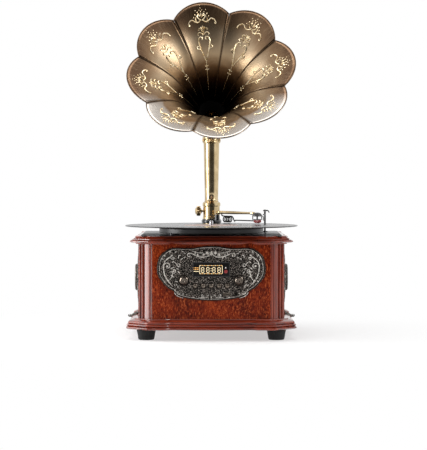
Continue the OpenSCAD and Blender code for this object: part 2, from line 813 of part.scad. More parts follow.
module horn_stem() {
    low = stem_foot_d / 2;
    high = stem_d / 2;
    bottom = z_collar - shank_len + free_gap;
    color("#c9a45a")
    in_cabinet() translate([0, stem_y, 0]) rotate_extrude() polygon([
        [shank_r - 2, bottom], [shank_r, bottom], [shank_r, z_collar + free_gap], [low, z_collar + free_gap],
        [low, z_collar + 3], [high, z_stem_top], [high - 2, z_stem_top], [shank_r - 2, z_collar]
    ]);
}

// Ring of leaves at the top of the stem
module stem_crown() {
    low = stem_foot_d / 2;
    high = stem_d / 2;
    reach = z_stem_top - z_collar - 3;
    inner = high - (high - low) * crown_h / reach;
    color("#c9a45a")
    in_cabinet() translate([0, stem_y, z_stem_top - crown_h]) {
        rotate_extrude() polygon([
            [inner + 0.02, 0], [inner + crown_t, 1], [inner + crown_t, crown_h - 4], [high + 2.2, crown_h - 2],
            [high + 2.2, crown_h], [high + 0.02, crown_h]
        ]);
    }
}

// The bell's frame: its origin is where the elbow ends, and its Z runs out of the mouth
module in_bell() {
    in_cabinet() translate([0, stem_y - elbow_r * (1 - cos(bend)), z_stem_top + elbow_r * sin(bend)])
        rotate([bend, 0, 0]) children();
}

function bell_r(u) = neck_r + (mouth_r - neck_r) * (0.54 * u + 0.46 * pow(u, 5));
function bell_slope(u) = (mouth_r - neck_r) * (0.54 + 2.3 * pow(u, 4)) / horn_len;
function seam_dip(u) = 0.03 + 0.086 * u * u;

// A point of the bell, at height u, at angle a and at side from a petal's middle, lifted outwards
function bell_point(u, a, side, lift) =
    let (
        r = bell_r(u) * (1 - seam_dip(u) * pow(side / seam_half, 2)),
        m = bell_slope(u),
        n = sqrt(1 + m * m)
    )
    [
        (r + lift / n) * cos(a + side),
        (r + lift / n) * sin(a + side),
        horn_len * u - lift * m / n + petal_bow * pow(u, 4) * (1 - pow(side / seam_half, 2))
    ];

module petal(a) {
    rows = petal_rows;
    cols = petal_cols;
    edge = seam_half - 0.12;
    grid = [for (lift = [0, horn_t]) for (j = [0:rows]) for (i = [0:cols])
        bell_point(petal_start + (1 - petal_start) * j / rows, a, edge * (2 * i / cols - 1), lift)];
    w = cols + 1;
    layer = (rows + 1) * w;
    function quad(p, q, r, s) = [[p, q, r], [p, r, s]];
    faces = concat(
        [for (j = [0:rows - 1]) for (i = [0:cols - 1])
            let (p = j * w + i)
            each concat(
                quad(p, p + w, p + w + 1, p + 1),
                quad(layer + p, layer + p + 1, layer + p + w + 1, layer + p + w)
            )],
        [for (i = [0:cols - 1])
            let (p = i, q = rows * w + i)
            each concat(quad(p, p + 1, layer + p + 1, layer + p), quad(q, layer + q, layer + q + 1, q + 1))],
        [for (j = [0:rows - 1])
            let (p = j * w, q = j * w + cols)
            each concat(quad(p, layer + p, layer + p + w, p + w), quad(q, q + w, layer + q + w, layer + q))]
    );
    polyhedron(points = grid, faces = faces);
}

module horn_petals() {
    color("#8a6a3a")
    in_bell() for (i = [0:petal_count - 1]) petal(petal_turn + i * 360 / petal_count);
}

// Elbow and the plain throat that the petals are fixed to
module horn_neck() {
    inner = stem_d / 2 - horn_t;
    outer = stem_d / 2;
    steps = 6;
    end = petal_start - free_gap / horn_len;
    color("#8a6a3a") {
        in_cabinet() translate([0, stem_y - elbow_r, z_stem_top]) rotate([90, 0, 90])
            rotate_extrude(angle = bend) translate([elbow_r, 0]) difference() {
                circle(r = outer);
                circle(r = inner);
            }
        in_bell() rotate_extrude() polygon(concat(
            [for (j = [0:steps]) let (u = end * j / steps) [bell_r(u) * neck_in(u), horn_len * u]],
            [for (j = [steps:-1:0]) let (u = end * j / steps) [bell_r(u) * neck_in(u) + horn_t, horn_len * u]]
        ));
    }
}

// The throat narrows a little towards the petals, to meet their seams
function neck_in(u) = 1 - seam_dip(u) * 0.5 * u / petal_start;

// Children are placed in the arm's frame, turned by the given angle from rest
module in_arm(turn = 0) {
    in_cabinet() translate([arm_x, arm_y, 0]) rotate([0, 0, arm_angle + turn]) children();
}

// Plate clamped under the socket, with the housing of the arm's upright pivot
module arm_bracket() {
    reach = sqrt(pow(arm_x, 2) + pow(stem_y - arm_y, 2));
    turn = atan2(arm_y - stem_y, arm_x);
    color("#3a3b3e")
    difference() {
        in_cabinet() union() {
            translate([0, stem_y, z_bracket]) cylinder(r = socket_d / 2 + 0.5, h = bracket_t);
            translate([0, stem_y, z_bracket]) rotate([0, 0, turn])
                translate([0, -housing_r, 0]) cube([reach, 2 * housing_r, bracket_t]);
            translate([arm_x, arm_y, z_bracket]) cylinder(r = housing_r, h = housing_h);
        }
        in_arm() translate([0, 0, z_bracket + bracket_t]) cylinder(r = pin_r + run_gap, h = housing_h);
    }
}

// Brass yoke: an upright pin in the housing, and two cheeks with the hinge pin
module arm_yoke() {
    z_base = z_bracket + housing_h + free_gap;
    base_t = 1.2;
    cheek = 1.7;
    half = arm_d / 2 + 0.8 + free_gap;
    color("#c9a45a")
    in_arm() {
        translate([0, 0, z_bracket + bracket_t + 0.5]) cylinder(r = pin_r, h = z_base - z_bracket - bracket_t);
        translate([0, 0, z_base]) cylinder(r = half + cheek, h = base_t);
        for (s = [0, 1]) mirror([0, s, 0]) translate([-3, half, z_base]) cube([6, cheek, z_hinge + 3 - z_base]);
        translate([0, -half - 0.5, z_hinge]) rotate([-90, 0, 0]) cylinder(r = hinge_r, h = 2 * half + 1);
    }
}

module tonearm() {
    boss = arm_d / 2 + 0.3;
    half = arm_d / 2 + 0.8;
    color("#c9a45a")
    in_arm() difference() {
        union() {
            translate([0, -half, z_hinge]) rotate([-90, 0, 0]) cylinder(r = boss, h = 2 * half);
            translate([0, 0, z_hinge]) rotate([0, 90, 0]) cylinder(d = arm_d, h = shell_at - shell_r + 1);
        }
        translate([0, -half - 1, z_hinge]) rotate([-90, 0, 0]) cylinder(r = hinge_r + run_gap, h = 2 * half + 2);
    }
}

// Domed headshell with its posts and finger lift
module headshell() {
    dome_h = 7;
    color("#6d6e68")
    in_arm() difference() {
        union() {
            translate([shell_at, 0, z_shell]) difference() {
                rotate_extrude() polygon(concat(
                    [[0, 0], [shell_r, 0]],
                    [for (a = [15:15:75]) [shell_r * cos(a), dome_h * sin(a)]],
                    [[0, dome_h]]
                ));
                translate([0, 0, -1]) cylinder(r = shell_r - 2.5, h = 3);
            }
            for (x = [-1, 1]) for (y = [-1, 1])
                translate([shell_at + x * 5.6, y * 5.6, z_shell - 5]) cylinder(r = 0.9, h = 5.5);
            translate([shell_at - 6.5, -6.5, z_shell - 6]) cube([13, 13, 1.2]);
            translate([shell_at + 4, 6, z_shell - 0.2]) cube([2.6, 4.6, 1.4]);
            translate([shell_at + 4, 9.2, z_shell - 8]) cube([2.6, 1.4, 9.2]);
        }
        translate([shell_at - shell_r - 1, 0, z_hinge]) rotate([0, 90, 0]) cylinder(d = arm_d, h = 2);
    }
}

// Red cartridge with its stylus, which stays just clear of the record
module cartridge() {
    z_low = z_groove + free_gap;
    z_body_low = z_low + 2.4;
    color("#a3211f")
    in_arm() translate([arm_len, 0, 0]) {
        translate([-8.5, -4, z_body_low]) cube([12, 8, z_shell - 6 - z_body_low]);
        translate([0, 0, z_low]) cylinder(r1 = 0.35, r2 = 1.1, h = 2.6);
        translate([-6, -3, z_low + 1.2]) cube([7, 6, 1.4]);
    }
}

// The lead: out of the tube's underside, through its turns and straight on to the cartridge.
// Its points are worked out along the arm, in the arm's frame.
function blend3(a, b, t) = a + (b - a) * (3 * t * t - 2 * t * t * t);

lead_path = concat(
    [[13, 0, z_lead_top], [13, 0, z_lead_top - lead_d]],
    [for (i = [1:5]) let (t = i / 6) [13 + (coil_from - 13) * (1 - cos(90 * t)), 0,
        z_lead_top - lead_d + (z_coil + coil_r - z_lead_top + lead_d) * sin(90 * t)]],
    [for (i = [0:lead_rings * (lead_turns + 0.25)])
        let (a = 360 * i / lead_rings, s = i / (lead_rings * (lead_turns + 0.25)))
        [coil_from + (coil_to - coil_from) * s, coil_r * sin(a), z_coil + coil_r * cos(a)]],
    [for (i = [1:6]) let (t = i / 6)
        [coil_to + 12 * t, blend3(coil_r, 0, t), z_coil + (z_wire - z_coil) * t - coil_r * 0.55 * sin(180 * t)]],
    [[lead_end - lead_d, 0, z_wire], [lead_end, 0, z_wire]]
);

function unit(v) = v / norm(v);
function tangent(p, i) = unit(p[min(i + 1, len(p) - 1)] - p[max(i - 1, 0)]);

// Side vectors carried along the path without twist
function carried(p, i, v, out) =
    i >= len(p) ? out
    : let (t = tangent(p, i), s = unit(v - (v * t) * t))
    carried(p, i + 1, s, concat(out, [s]));

// A round tube along a path
module swept_tube(p, r, sides) {
    n = len(p);
    side = carried(p, 0, [0, 1, 0], []);
    rings = [for (i = [0:n - 1]) let (t = tangent(p, i), u = side[i], w = cross(t, u))
        for (k = [0:sides - 1]) p[i] + r * (cos(360 * k / sides) * u + sin(360 * k / sides) * w)];
    points = concat(rings, [p[0], p[n - 1]]);
    faces = concat(
        [for (i = [0:n - 2]) for (k = [0:sides - 1])
            let (a = i * sides + k, b = i * sides + (k + 1) % sides)
            each [[a, a + sides, b + sides], [a, b + sides, b]]],
        [for (k = [0:sides - 1]) [n * sides, k, (k + 1) % sides]],
        [for (k = [0:sides - 1]) [n * sides + 1, (n - 1) * sides + (k + 1) % sides, (n - 1) * sides + k]]
    );
    polyhedron(points = points, faces = faces);
}

module arm_lead() {
    color("#121214")
    in_arm() swept_tube(lead_path, lead_d / 2, 6);
}

// The least gap between one turn of the lead and the next, measured on its points
function later_gap(p, i) = min([for (j = [i + lead_rings / 2:len(p) - 1]) norm(p[i] - p[j])]);
lead_gap = min([for (i = [0:len(lead_path) - 1 - lead_rings / 2]) later_gap(lead_path, i)]) - lead_d;

echo(least_gap_of_the_lead = lead_gap);

module in_rest() {
    in_arm(swing_out) translate([rest_along, rest_side, 0]) children();
}

// Post with the shelf that the parked arm lies over
module arm_rest() {
    z_shelf = z_hinge - arm_d / 2 - free_gap;
    color("#1a1a1c")
    in_rest() {
        translate([0, 0, z_deck]) cylinder(r = 5, h = 2);
        translate([0, 0, z_deck]) cylinder(r = rest_r, h = z_hinge + arm_d / 2 - z_deck);
        translate([-1.5, -rest_side - arm_d / 2 - 1, z_shelf - 2])
            cube([3, rest_side + arm_d / 2 + 1, 2]);
        translate([0, 0, z_hinge + arm_d / 2 - 1]) cylinder(r = 1.2, h = 1 + clip_lift + 3);
    }
}

// Clip that turns on the post, over the parked arm
module rest_clip() {
    z_clip = z_hinge + arm_d / 2 + clip_lift;
    clip_t = 2;
    over = rest_side + arm_d / 2 + 1.5;
    color("#1a1a1c")
    in_rest() difference() {
        union() {
            translate([0, 0, z_clip]) cylinder(r = rest_r + 1, h = clip_t + 0.6);
            translate([-1.4, -over, z_clip]) cube([2.8, over, clip_t]);
            translate([-1.4, 0, z_clip]) cube([2.8, 6, clip_t]);
            translate([0, 6, z_clip]) rotate([-40, 0, 0]) translate([-1.4, -0.6, 0.2]) cube([2.8, 5, clip_t - 0.2]);
        }
        translate([0, 0, z_clip - 1]) cylinder(r = 1.2 + run_gap, h = clip_t + 3);
    }
}

foot(-1, -1);  // foot_front_left
foot(1, -1);  // foot_front_right
foot(-1, 1);  // foot_back_left
foot(1, 1);  // foot_back_right
foot_screws();
plinth();
front_panel();
back_panel();
side_panel(-1);  // left_panel
side_panel(1);  // right_panel
corner_posts();
top_board();
deck_plate();
faceplate();
display_window();
display_module();
turning_knob(-1);  // volume_knob
turning_knob(1);  // tuning_knob
encoders();
button(1);  // button_1
button(2);  // button_2
button(3);  // button_3
button(4);  // button_4
button(5);  // button_5
usb_socket();
aux_socket();
control_board();
side_grille(-1);  // left_grille
side_grille(1);  // right_grille
side_leaves();
grille_cloth(-1);  // left_grille_cloth
grille_cloth(1);  // right_grille_cloth
speaker(-1);  // left_speaker
speaker(1);  // right_speaker
rear_plate();
rear_sockets();
power_switch();
bearing_bush();
spindle();
platter();
platter_mat();
record();
drive_belt();
motor();
motor_pulley();
stem_base();
horn_socket();
thumbscrew();
horn_stem();
stem_crown();
horn_neck();
horn_petals();
arm_bracket();
arm_yoke();
tonearm();
headshell();
cartridge();
arm_lead();
arm_rest();
rest_clip();
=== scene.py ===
# %% [markdown]
# # A record player with a flower horn
# The player is a wooden cabinet with a turntable on top, and a sheet-metal horn that stands on a brass stem.
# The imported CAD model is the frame: it says where every part is, and which parts move together.
# This file gives that frame its looks. Some CAD parts only get a better finish. Others are too plain, such as
# the mouldings and the horn's petals, so a finer piece takes their place.

# %% Load the frame
import json
import math
from collections import namedtuple
import bmesh
import bpy
from mathutils import Matrix, Vector

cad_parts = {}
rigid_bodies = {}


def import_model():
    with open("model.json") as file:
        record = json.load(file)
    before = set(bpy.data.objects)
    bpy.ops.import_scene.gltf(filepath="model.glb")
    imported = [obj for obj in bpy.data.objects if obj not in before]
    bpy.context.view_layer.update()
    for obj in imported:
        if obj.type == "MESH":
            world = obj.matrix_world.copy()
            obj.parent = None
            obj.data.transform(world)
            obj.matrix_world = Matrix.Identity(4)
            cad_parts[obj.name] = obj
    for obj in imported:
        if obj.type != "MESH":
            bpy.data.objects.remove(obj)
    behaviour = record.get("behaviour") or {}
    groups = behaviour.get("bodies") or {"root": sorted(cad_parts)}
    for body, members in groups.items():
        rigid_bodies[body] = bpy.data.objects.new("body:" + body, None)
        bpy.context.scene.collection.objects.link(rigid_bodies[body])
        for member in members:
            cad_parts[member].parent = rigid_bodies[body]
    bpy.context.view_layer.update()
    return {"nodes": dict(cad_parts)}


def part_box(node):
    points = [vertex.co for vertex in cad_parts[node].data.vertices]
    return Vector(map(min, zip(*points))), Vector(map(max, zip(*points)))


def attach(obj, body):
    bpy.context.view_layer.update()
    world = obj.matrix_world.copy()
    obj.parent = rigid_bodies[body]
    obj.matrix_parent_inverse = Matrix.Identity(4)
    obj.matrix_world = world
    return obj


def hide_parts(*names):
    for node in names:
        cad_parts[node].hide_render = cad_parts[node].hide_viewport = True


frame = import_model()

mm = 0.001

# %% [markdown]
# Everything is placed from a few landmarks. They are read from the frame where a CAD part has them, so that the
# pieces stay on what carries them. Lengths in this file are written in millimetres and made metres in one place.

# %% Landmarks
Point = namedtuple("Point", "x y z")

def box_mm(node):
    """Lowest and highest corner of a node, in millimetres."""
    return [Point(*(c / mm for c in corner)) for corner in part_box(node)]

def middle_mm(node):
    return Point(*((low + high) / 2 for low, high in zip(*box_mm(node))))

def half_mm(node):
    """Half of a node's size along each axis."""
    return Point(*((high - low) / 2 for low, high in zip(*box_mm(node))))

plinth_low, plinth_high = box_mm("plinth")
spindle_y, cabinet_y, stem_y = (middle_mm(node).y for node in ("record", "plinth", "horn_stem"))
groove_z = box_mm("record")[1].z
deck_z = box_mm("deck_plate")[1].z
front_y = box_mm("front_panel")[0].y
half_w = box_mm("right_panel")[1].x
half_d = cabinet_y - front_y
print("cabinet middle", round(cabinet_y, 1), "deck", round(deck_z, 1), "stem", round(stem_y, 1))

# %% [markdown]
# The camera stands 3.3 m away and level, a little above the turntable, as the picture's flat view of the record
# shows. A long lens keeps the sides parallel. The frame reaches well below the feet, so the lens is shifted
# instead of tilted: a tilt would make the cabinet's upright edges lean.

# %% Camera
camera_distance, camera_x, camera_z = 3262, 3.7, 287.5
camera_data = bpy.data.cameras.new("camera")
camera = bpy.data.objects.new("camera", camera_data)
bpy.context.scene.collection.objects.link(camera)
camera.location = Vector((camera_x, spindle_y - camera_distance, camera_z)) * mm
camera.rotation_euler = (math.radians(90), 0, 0)
camera_data.lens = 149.1
camera_data.shift_y = -0.12
camera_data.clip_end = 20
bpy.context.scene.camera = camera
bpy.context.scene.view_settings.view_transform = "Standard"
print("camera", [round(v, 3) for v in camera.location])

# %% [markdown]
# A finish is a material whose nodes are written as sums. The small class below wraps a node's output, so that
# `1 - grain * 0.3` adds the Math nodes by itself. One method makes any other node from its type, its settings
# and the values of its sockets. Colours are mixed and never go through a Math node, which would turn them grey.

# %% Shader arithmetic
class Signal:
    """A node's output that can take part in sums."""

    def __init__(self, tree, socket):
        self.tree = tree
        self.socket = socket

    def math(self, operation, a, b=0.0):
        return self.tree.node("Math", {"operation": operation}, {0: a, 1: b})

    def __add__(self, other):
        return self.math("ADD", self, other)

    def __sub__(self, other):
        return self.math("SUBTRACT", self, other)

    def __rsub__(self, other):
        return self.math("SUBTRACT", other, self)

    def __mul__(self, other):
        return self.math("MULTIPLY", self, other)

    __radd__ = __add__
    __rmul__ = __mul__

print("sums of node outputs ready")

# %% Node tree
class Tree:
    """A node tree and the methods that add to it."""

    def __init__(self, node_tree):
        self.nodes = node_tree.nodes
        self.links = node_tree.links

    def join(self, value, socket):
        if isinstance(value, Signal):
            self.links.new(value.socket, socket)
        elif hasattr(socket.default_value, "__len__") and len(value) < len(socket.default_value):
            socket.default_value = (*value, 1)
        else:
            socket.default_value = value

    def node(self, kind, settings=None, inputs=None, out=0):
        made = self.nodes.new("ShaderNode" + kind)
        for key, value in (settings or {}).items():
            setattr(made, key, value)
        for key, value in (inputs or {}).items():
            self.join(value, made.inputs[key])
        return Signal(self, made.outputs[out])

    def ray(self, kind):
        return self.node("LightPath", out=f"Is {kind} Ray")

    def vector_math(self, operation, *values, out=1):
        return self.node("VectorMath", {"operation": operation}, dict(enumerate(values)), out)

    def span(self, value, start, end, first=0.0, last=1.0, kind="SMOOTHSTEP"):
        """Goes from first to last while the value goes from start to end."""
        return self.node("MapRange", {"interpolation_type": kind}, {
            "Value": value, "From Min": start, "From Max": end, "To Min": first, "To Max": last})

print("node trees ready")

# %% Finishes
class Finish(Tree):
    """A material with its main shader."""

    def __init__(self, name, **constants):
        self.material = bpy.data.materials.new(name)
        self.material.use_nodes = True
        super().__init__(self.material.node_tree)
        self.shader = self.nodes["Principled BSDF"]
        for socket, value in constants.items():
            self.set(socket.replace("_", " "), value)

    def set(self, socket, value):
        self.join(value, self.shader.inputs[socket])

    def ramp(self, factor, stops):
        made = self.nodes.new("ShaderNodeValToRGB")
        line = made.color_ramp.elements
        line.remove(line[1])
        for i, (place, colour) in enumerate(stops):
            stop = line.new(place) if i else line[0]
            stop.position = place
            stop.color = (*colour, 1)
        self.join(factor, made.inputs[0])
        return Signal(self, made.outputs[0])

    def mask(self, factor, start, end, first=0.0, last=1.0):
        return self.ramp(factor, [(start, (first,) * 3), (end, (last,) * 3)])

    def mix(self, factor, a, b):
        return self.node("Mix", {"data_type": "RGBA"}, {0: factor, 6: a, 7: b}, out=2)

    def place(self, scale=(1, 1, 1), move=(0, 0, 0), uv=False):
        coordinates = self.node("TexCoord", out=2 if uv else 3)
        return self.node("Mapping", {}, {"Vector": coordinates, "Scale": scale, "Location": move})

    def noise(self, where, scale, detail=3.0, rough=0.5, warp=0.0):
        return self.node("TexNoise", {}, {"Vector": where, "Scale": scale, "Detail": detail, "Roughness": rough,
                                          "Distortion": warp})

    def bump(self, height, distance, strength=1.0):
        self.set("Normal", self.node("Bump", {}, {"Height": height, "Distance": distance, "Strength": strength}))

print("finishes ready")

# %% [markdown]
# The light is soft and plain. A big panel hangs overhead, a narrow one reaches down to the floor close to the
# left side with another high up behind it for the horn, and one stands at the right front. The slanted corners
# and the reeds catch the upright panels as long highlights. The world is white to the camera and to reflections,
# and only half as strong as a light, so that the wood keeps its depth. The room behind the camera is dim, as in
# any studio: this dark side is what gives polished brass its brown stripe and lacquer its depth.

# %% Lamps and world
def soft_panel(name, place, aim, size, power):
    data = bpy.data.lights.new(name, "AREA")
    data.shape = "RECTANGLE"
    data.size, data.size_y = size
    data.energy = power
    lamp = bpy.data.objects.new(name, data)
    lamp.location = place
    lamp.rotation_euler = (Vector(aim) - Vector(place)).to_track_quat("-Z", "Y").to_euler()
    lamp.visible_camera = False
    bpy.context.scene.collection.objects.link(lamp)

soft_panel("overhead", (0, -0.2, 1.9), (0, 0, 0.3), (1.3, 1.0), 14)
soft_panel("left_high", (-0.9, -0.09, 0.66), (0, -0.09, 0.4), (0.3, 0.5), 3.6)
soft_panel("left_low", (-0.55, -0.09, 0.21), (0, -0.09, 0.2), (0.26, 0.42), 2.3)
soft_panel("right_front", (1.5, -1.0, 1.0), (0, 0, 0.4), (0.6, 0.9), 12)

dim_side, dim_level, diffuse_level = (0.1, -0.995, 0.0), 0.08, 0.55
world = bpy.data.worlds.new("studio")
bpy.context.scene.world = world
world.use_nodes = True
studio = Tree(world.node_tree)
facing = studio.vector_math("DOT_PRODUCT", studio.node("TexCoord"), dim_side)
strength = studio.ray("Camera")
for other in (studio.ray("Transmission"), studio.ray("Glossy") * studio.span(facing, 0.72, 0.93, 1.0, dim_level),
              studio.ray("Diffuse") * diffuse_level):
    strength = strength.math("MAXIMUM", strength, other)
studio.join(strength, studio.nodes["Background"].inputs["Strength"])
studio.join((1, 1, 1), studio.nodes["Background"].inputs["Color"])
print("lamps:", sum(o.type == "LIGHT" for o in bpy.data.objects))

# %% [markdown]
# ## Wood
# The mouldings and reeded corners are stained mahogany under a thick clear lacquer. Its grain runs along each
# piece, so the noise is squeezed across the grain and drawn out along it. The lacquer is the shader's coat: it
# stays sharp while the wood below is dull. The panels are veneer with short wavy grain and pinkish flecks.

# %% Wood finishes
def mahogany(name, stretch):
    f = Finish(name, Roughness=0.4, Specular_IOR_Level=0.15, Coat_Weight=0.9, Coat_Roughness=0.04)
    grain = f.noise(f.place(scale=stretch), 1.0, 5, 0.6, 0.4)
    pores = f.noise(f.place(scale=tuple(4 * s for s in stretch)), 1.0, 2, 0.7)
    streak = f.ramp(grain, [(0.3, (0.045, 0.006, 0.003)), (0.5, (0.17, 0.019, 0.006)), (0.72, (0.3, 0.042, 0.011))])
    f.set("Base Color", f.mix(f.mask(pores, 0.3, 0.42, 1, 0), streak, (0.04, 0.008, 0.004)))
    f.bump(grain * 0.5 + pores, 0.00004, 0.4)
    return f.material

wood_along_x = mahogany("mahogany_along_x", (12, 160, 260))
wood_upright = mahogany("mahogany_upright", (200, 200, 10))

def flecked_veneer():
    f = Finish("veneer", Roughness=0.5, Specular_IOR_Level=0.03, Coat_Weight=0.12, Coat_Roughness=0.06)
    swirl = f.noise(f.place(scale=(14, 14, 9)), 1.0, 3, 0.5, 1.2)
    swirls = f.node("CombineXYZ", {}, {0: swirl, 1: swirl})
    where = f.node("Mix", {"data_type": "VECTOR"}, {0: 0.06, 4: f.place(), 5: swirls}, out=1)
    fleck = f.noise(f.node("Mapping", {}, {"Vector": where, "Scale": (560, 560, 170)}), 1.0, 4, 0.65, 0.3)
    cloud = f.noise(f.place(scale=(26, 26, 16)), 1.0, 3, 0.6, 0.8)
    ground = f.ramp(cloud, [(0.3, (0.08, 0.007, 0.0015)), (0.55, (0.18, 0.017, 0.003)), (0.75, (0.31, 0.038, 0.006))])
    dark = f.mix(f.mask(fleck, 0.38, 0.47, 1, 0), ground, (0.04, 0.005, 0.002))
    f.set("Base Color", f.mix(f.mask(fleck, 0.53, 0.63, 0, 0.62), dark, (0.5, 0.11, 0.03)))
    f.bump(fleck, 0.00005, 0.5)
    return f.material

veneer = flecked_veneer()
print("woods:", wood_along_x.name, veneer.name)

# %% [markdown]
# ## Metals
# The horn is brass, and the tone along each petal is painted light and shade. The front plate is a dark casting with a
# pitted ground whose brightest specks are painted glints, and its raised scrolls are rubbed bright. The stem, the
# socket and the arm are polished brass. Metal shows only what it reflects, tinted by its own colour. Small changes of
# tone and roughness keep it from looking like painted plastic.

# %% Metal finishes
def metal(name, dark, light, rough=(0.2, 0.4), cloud=60, fine=900, depth=0.00003, strength=0.3):
    f = Finish(name, Metallic=1.0)
    tone = f.noise(f.place(), cloud, 4, 0.6, 0.6)
    specks = f.noise(f.place(), fine, 2, 0.6)
    f.set("Base Color", f.ramp(tone * 0.8 + specks * 0.2, [(0.36, dark), (0.62, light)]))
    f.set("Roughness", rough[0] + (rough[1] - rough[0]) * tone)
    f.bump(specks, depth, strength)
    return f.material

polished_brass = metal("polished_brass", (0.42, 0.31, 0.16), (0.7, 0.55, 0.33), (0.06, 0.14), 40, 700, strength=0.04)
old_gold = metal("rubbed_gold", (0.6, 0.44, 0.22), (0.98, 0.86, 0.62), (0.18, 0.4), 150, 1500)
dark_brass = metal("dark_brass", (0.04, 0.022, 0.013), (0.16, 0.1, 0.055), (0.3, 0.5), 80, 1500)
steel = metal("steel", (0.42, 0.42, 0.44), (0.68, 0.68, 0.7), (0.2, 0.35), 60, 1200)
sintered = metal("sintered_bronze", (0.25, 0.15, 0.06), (0.5, 0.34, 0.16), (0.4, 0.6), 80, 2500, 0.00006, 0.8)

print("plain metals:", polished_brass.name, old_gold.name, dark_brass.name, steel.name, sintered.name)

# %% Cast finishes
def cast_ground():
    f = Finish("cast_ground", Metallic=0.6, Specular_IOR_Level=0.08)
    pits = f.noise(f.place(), 1500, 2, 0.7)
    cells = f.node("TexVoronoi", {}, {"Vector": f.place(), "Scale": 760})
    relief = cells * 0.5 + pits * 0.5
    # The brightest specks of the relief are painted glints; the rest is the casting's dark ground.
    f.set("Base Color", f.ramp(relief, [(0.46, (0.001, 0.001, 0.001)), (0.56, (0.01, 0.009, 0.008)),
                                        (0.66, (0.46, 0.4, 0.35))]))
    f.set("Roughness", 0.35 + pits * 0.25)
    f.bump(relief, 0.0004, 0.8)
    return f.material

pitted = cast_ground()
cast_relief = metal("cast_relief", (0.03, 0.026, 0.022), (0.98, 0.92, 0.84), (0.18, 0.42), 620, 1600, 0.0001, 0.4)
cast_edge = metal("cast_edge", (0.01, 0.009, 0.008), (0.07, 0.06, 0.052), (0.3, 0.5), 300, 1600, 0.0001, 0.4)
worn_silver = metal("worn_silver", (0.006, 0.005, 0.004), (0.34, 0.28, 0.23), (0.08, 0.26), 560, 1600, 0.0001, 0.4)
cast_grey = metal("cast_grey", (0.014, 0.012, 0.01), (0.2, 0.18, 0.16), (0.25, 0.45), 480, 1600, 0.0002, 0.6)
print("castings:", pitted.name, cast_relief.name, cast_edge.name, worn_silver.name, cast_grey.name)

# %% [markdown]
# The tone along each horn petal is painted light and shade: painted shade that is nearly black in the throat, a painted
# gold sheen on the belly of each petal, and darker brown again at the rim. The pattern is read from the petals' own UV
# map, whose U runs across a petal and whose V runs from the throat to the rim. Clouds and fine scratches break it up.
# The lowest petals, picked by their height, carry a pale painted reflection along their rims.

# %% Horn finish
def brass_with_painted_light():
    f = Finish("brass_with_painted_light", Metallic=1.0)
    where = f.place()
    across = f.node("SeparateXYZ", {}, {0: f.place(uv=True)})
    along = f.node("SeparateXYZ", {}, {0: f.place(uv=True)}, out=1)
    height = f.node("SeparateXYZ", {}, {0: where}, out=2)
    side = across.math("ABSOLUTE", across * 2 - 1)
    cloud = f.noise(where, 15, 5, 0.6, 0.9)
    scratch = f.noise(f.place(uv=True, scale=(60, 3, 1)), 4, 3, 0.6)
    # Painted light along the petal: painted shade in the throat, a painted sheen on the belly, darker brown towards the
    # rim.
    tone = f.ramp(along + (cloud - 0.5) * 0.34, [
        (0.14, (0.004, 0.003, 0.002)), (0.3, (0.035, 0.017, 0.008)), (0.45, (0.17, 0.095, 0.045)),
        (0.62, (0.42, 0.3, 0.18)), (0.76, (0.42, 0.31, 0.2)), (0.88, (0.22, 0.135, 0.075)),
        (0.98, (0.11, 0.062, 0.036))])
    scratches_and_painted_light = f.mix(f.mask(scratch, 0.5, 0.75, 0, 0.4), tone, (0.5, 0.38, 0.24))
    scratches_and_painted_light = f.mix(f.mask(along, 0.3, 0.7), tone, scratches_and_painted_light)
    # Painted reflection: the lowest petals, picked by height, turn pale grey along their rims.
    low = f.span(height, 0.425, 0.4, kind="LINEAR")
    pale_painted_reflection = low * f.mask(along + (cloud - 0.5) * 0.12, 0.83, 0.86)
    scratches_and_painted_light = f.mix(pale_painted_reflection * 0.85, scratches_and_painted_light, (0.46, 0.425, 0.385))
    f.set("Base Color", f.mix(f.mask(side, 0.9, 0.99, 0, 0.8), scratches_and_painted_light, (0.03, 0.018, 0.01)))
    f.set("Roughness", 0.26 + cloud * 0.2 - f.mask(along, 0.7, 0.95, 0, 0.12))
    f.bump(cloud * 0.7 + scratch * 0.3, 0.0003, 0.35)
    return f.material

horn_sheet = brass_with_painted_light()
print("horn:", horn_sheet.name)

# %% [markdown]
# ## Plastics, rubber, cloth and vinyl
# These are quieter. A black part still needs something to catch the eye: a fine grain in the rubber, a weave in
# the cloth, dust-fine mottling in the plastic. A record's black comes from its grooves, which are rings around
# the spindle, so their bump is a wave on the distance from the spindle.

# %% Moulded finishes
def moulded(name, colour, rough=0.35, coat=0.0, grain=900, depth=0.00003, shine=0.5):
    f = Finish(name, Coat_Weight=coat, Coat_Roughness=0.05, Specular_IOR_Level=shine)
    mottle = f.noise(f.place(), grain, 3, 0.6)
    lift = tuple(min(1, c * 1.5 + 0.004) for c in colour)
    f.set("Base Color", f.mix(mottle, colour, lift))
    f.set("Roughness", rough - 0.06 + mottle * 0.14)
    f.bump(mottle, depth, 0.4)
    return f.material

rubber = moulded("rubber", (0.006, 0.006, 0.006), 0.62, grain=1400, depth=0.0001, shine=0.3)
black_plastic = moulded("black_plastic", (0.01, 0.01, 0.011), 0.4)
black_gloss = moulded("black_gloss", (0.006, 0.006, 0.007), 0.25, coat=0.8, grain=500)
deck_gloss = moulded("deck_gloss", (0.02, 0.021, 0.023), 0.32, grain=300, depth=0.00001)
shell_grey = moulded("shell_grey", (0.035, 0.034, 0.033), 0.4, coat=0.2)
cartridge_red = moulded("cartridge_red", (0.2, 0.008, 0.007), 0.4, coat=0.3)
glass_black = moulded("glass_black", (0.002, 0.002, 0.002), 0.35, grain=200, depth=0.00001, shine=0.15)
platter_black = moulded("platter_black", (0.007, 0.008, 0.009), 0.34, grain=300, depth=0.00001)
board_green = moulded("board_green", (0.01, 0.09, 0.035), 0.45)
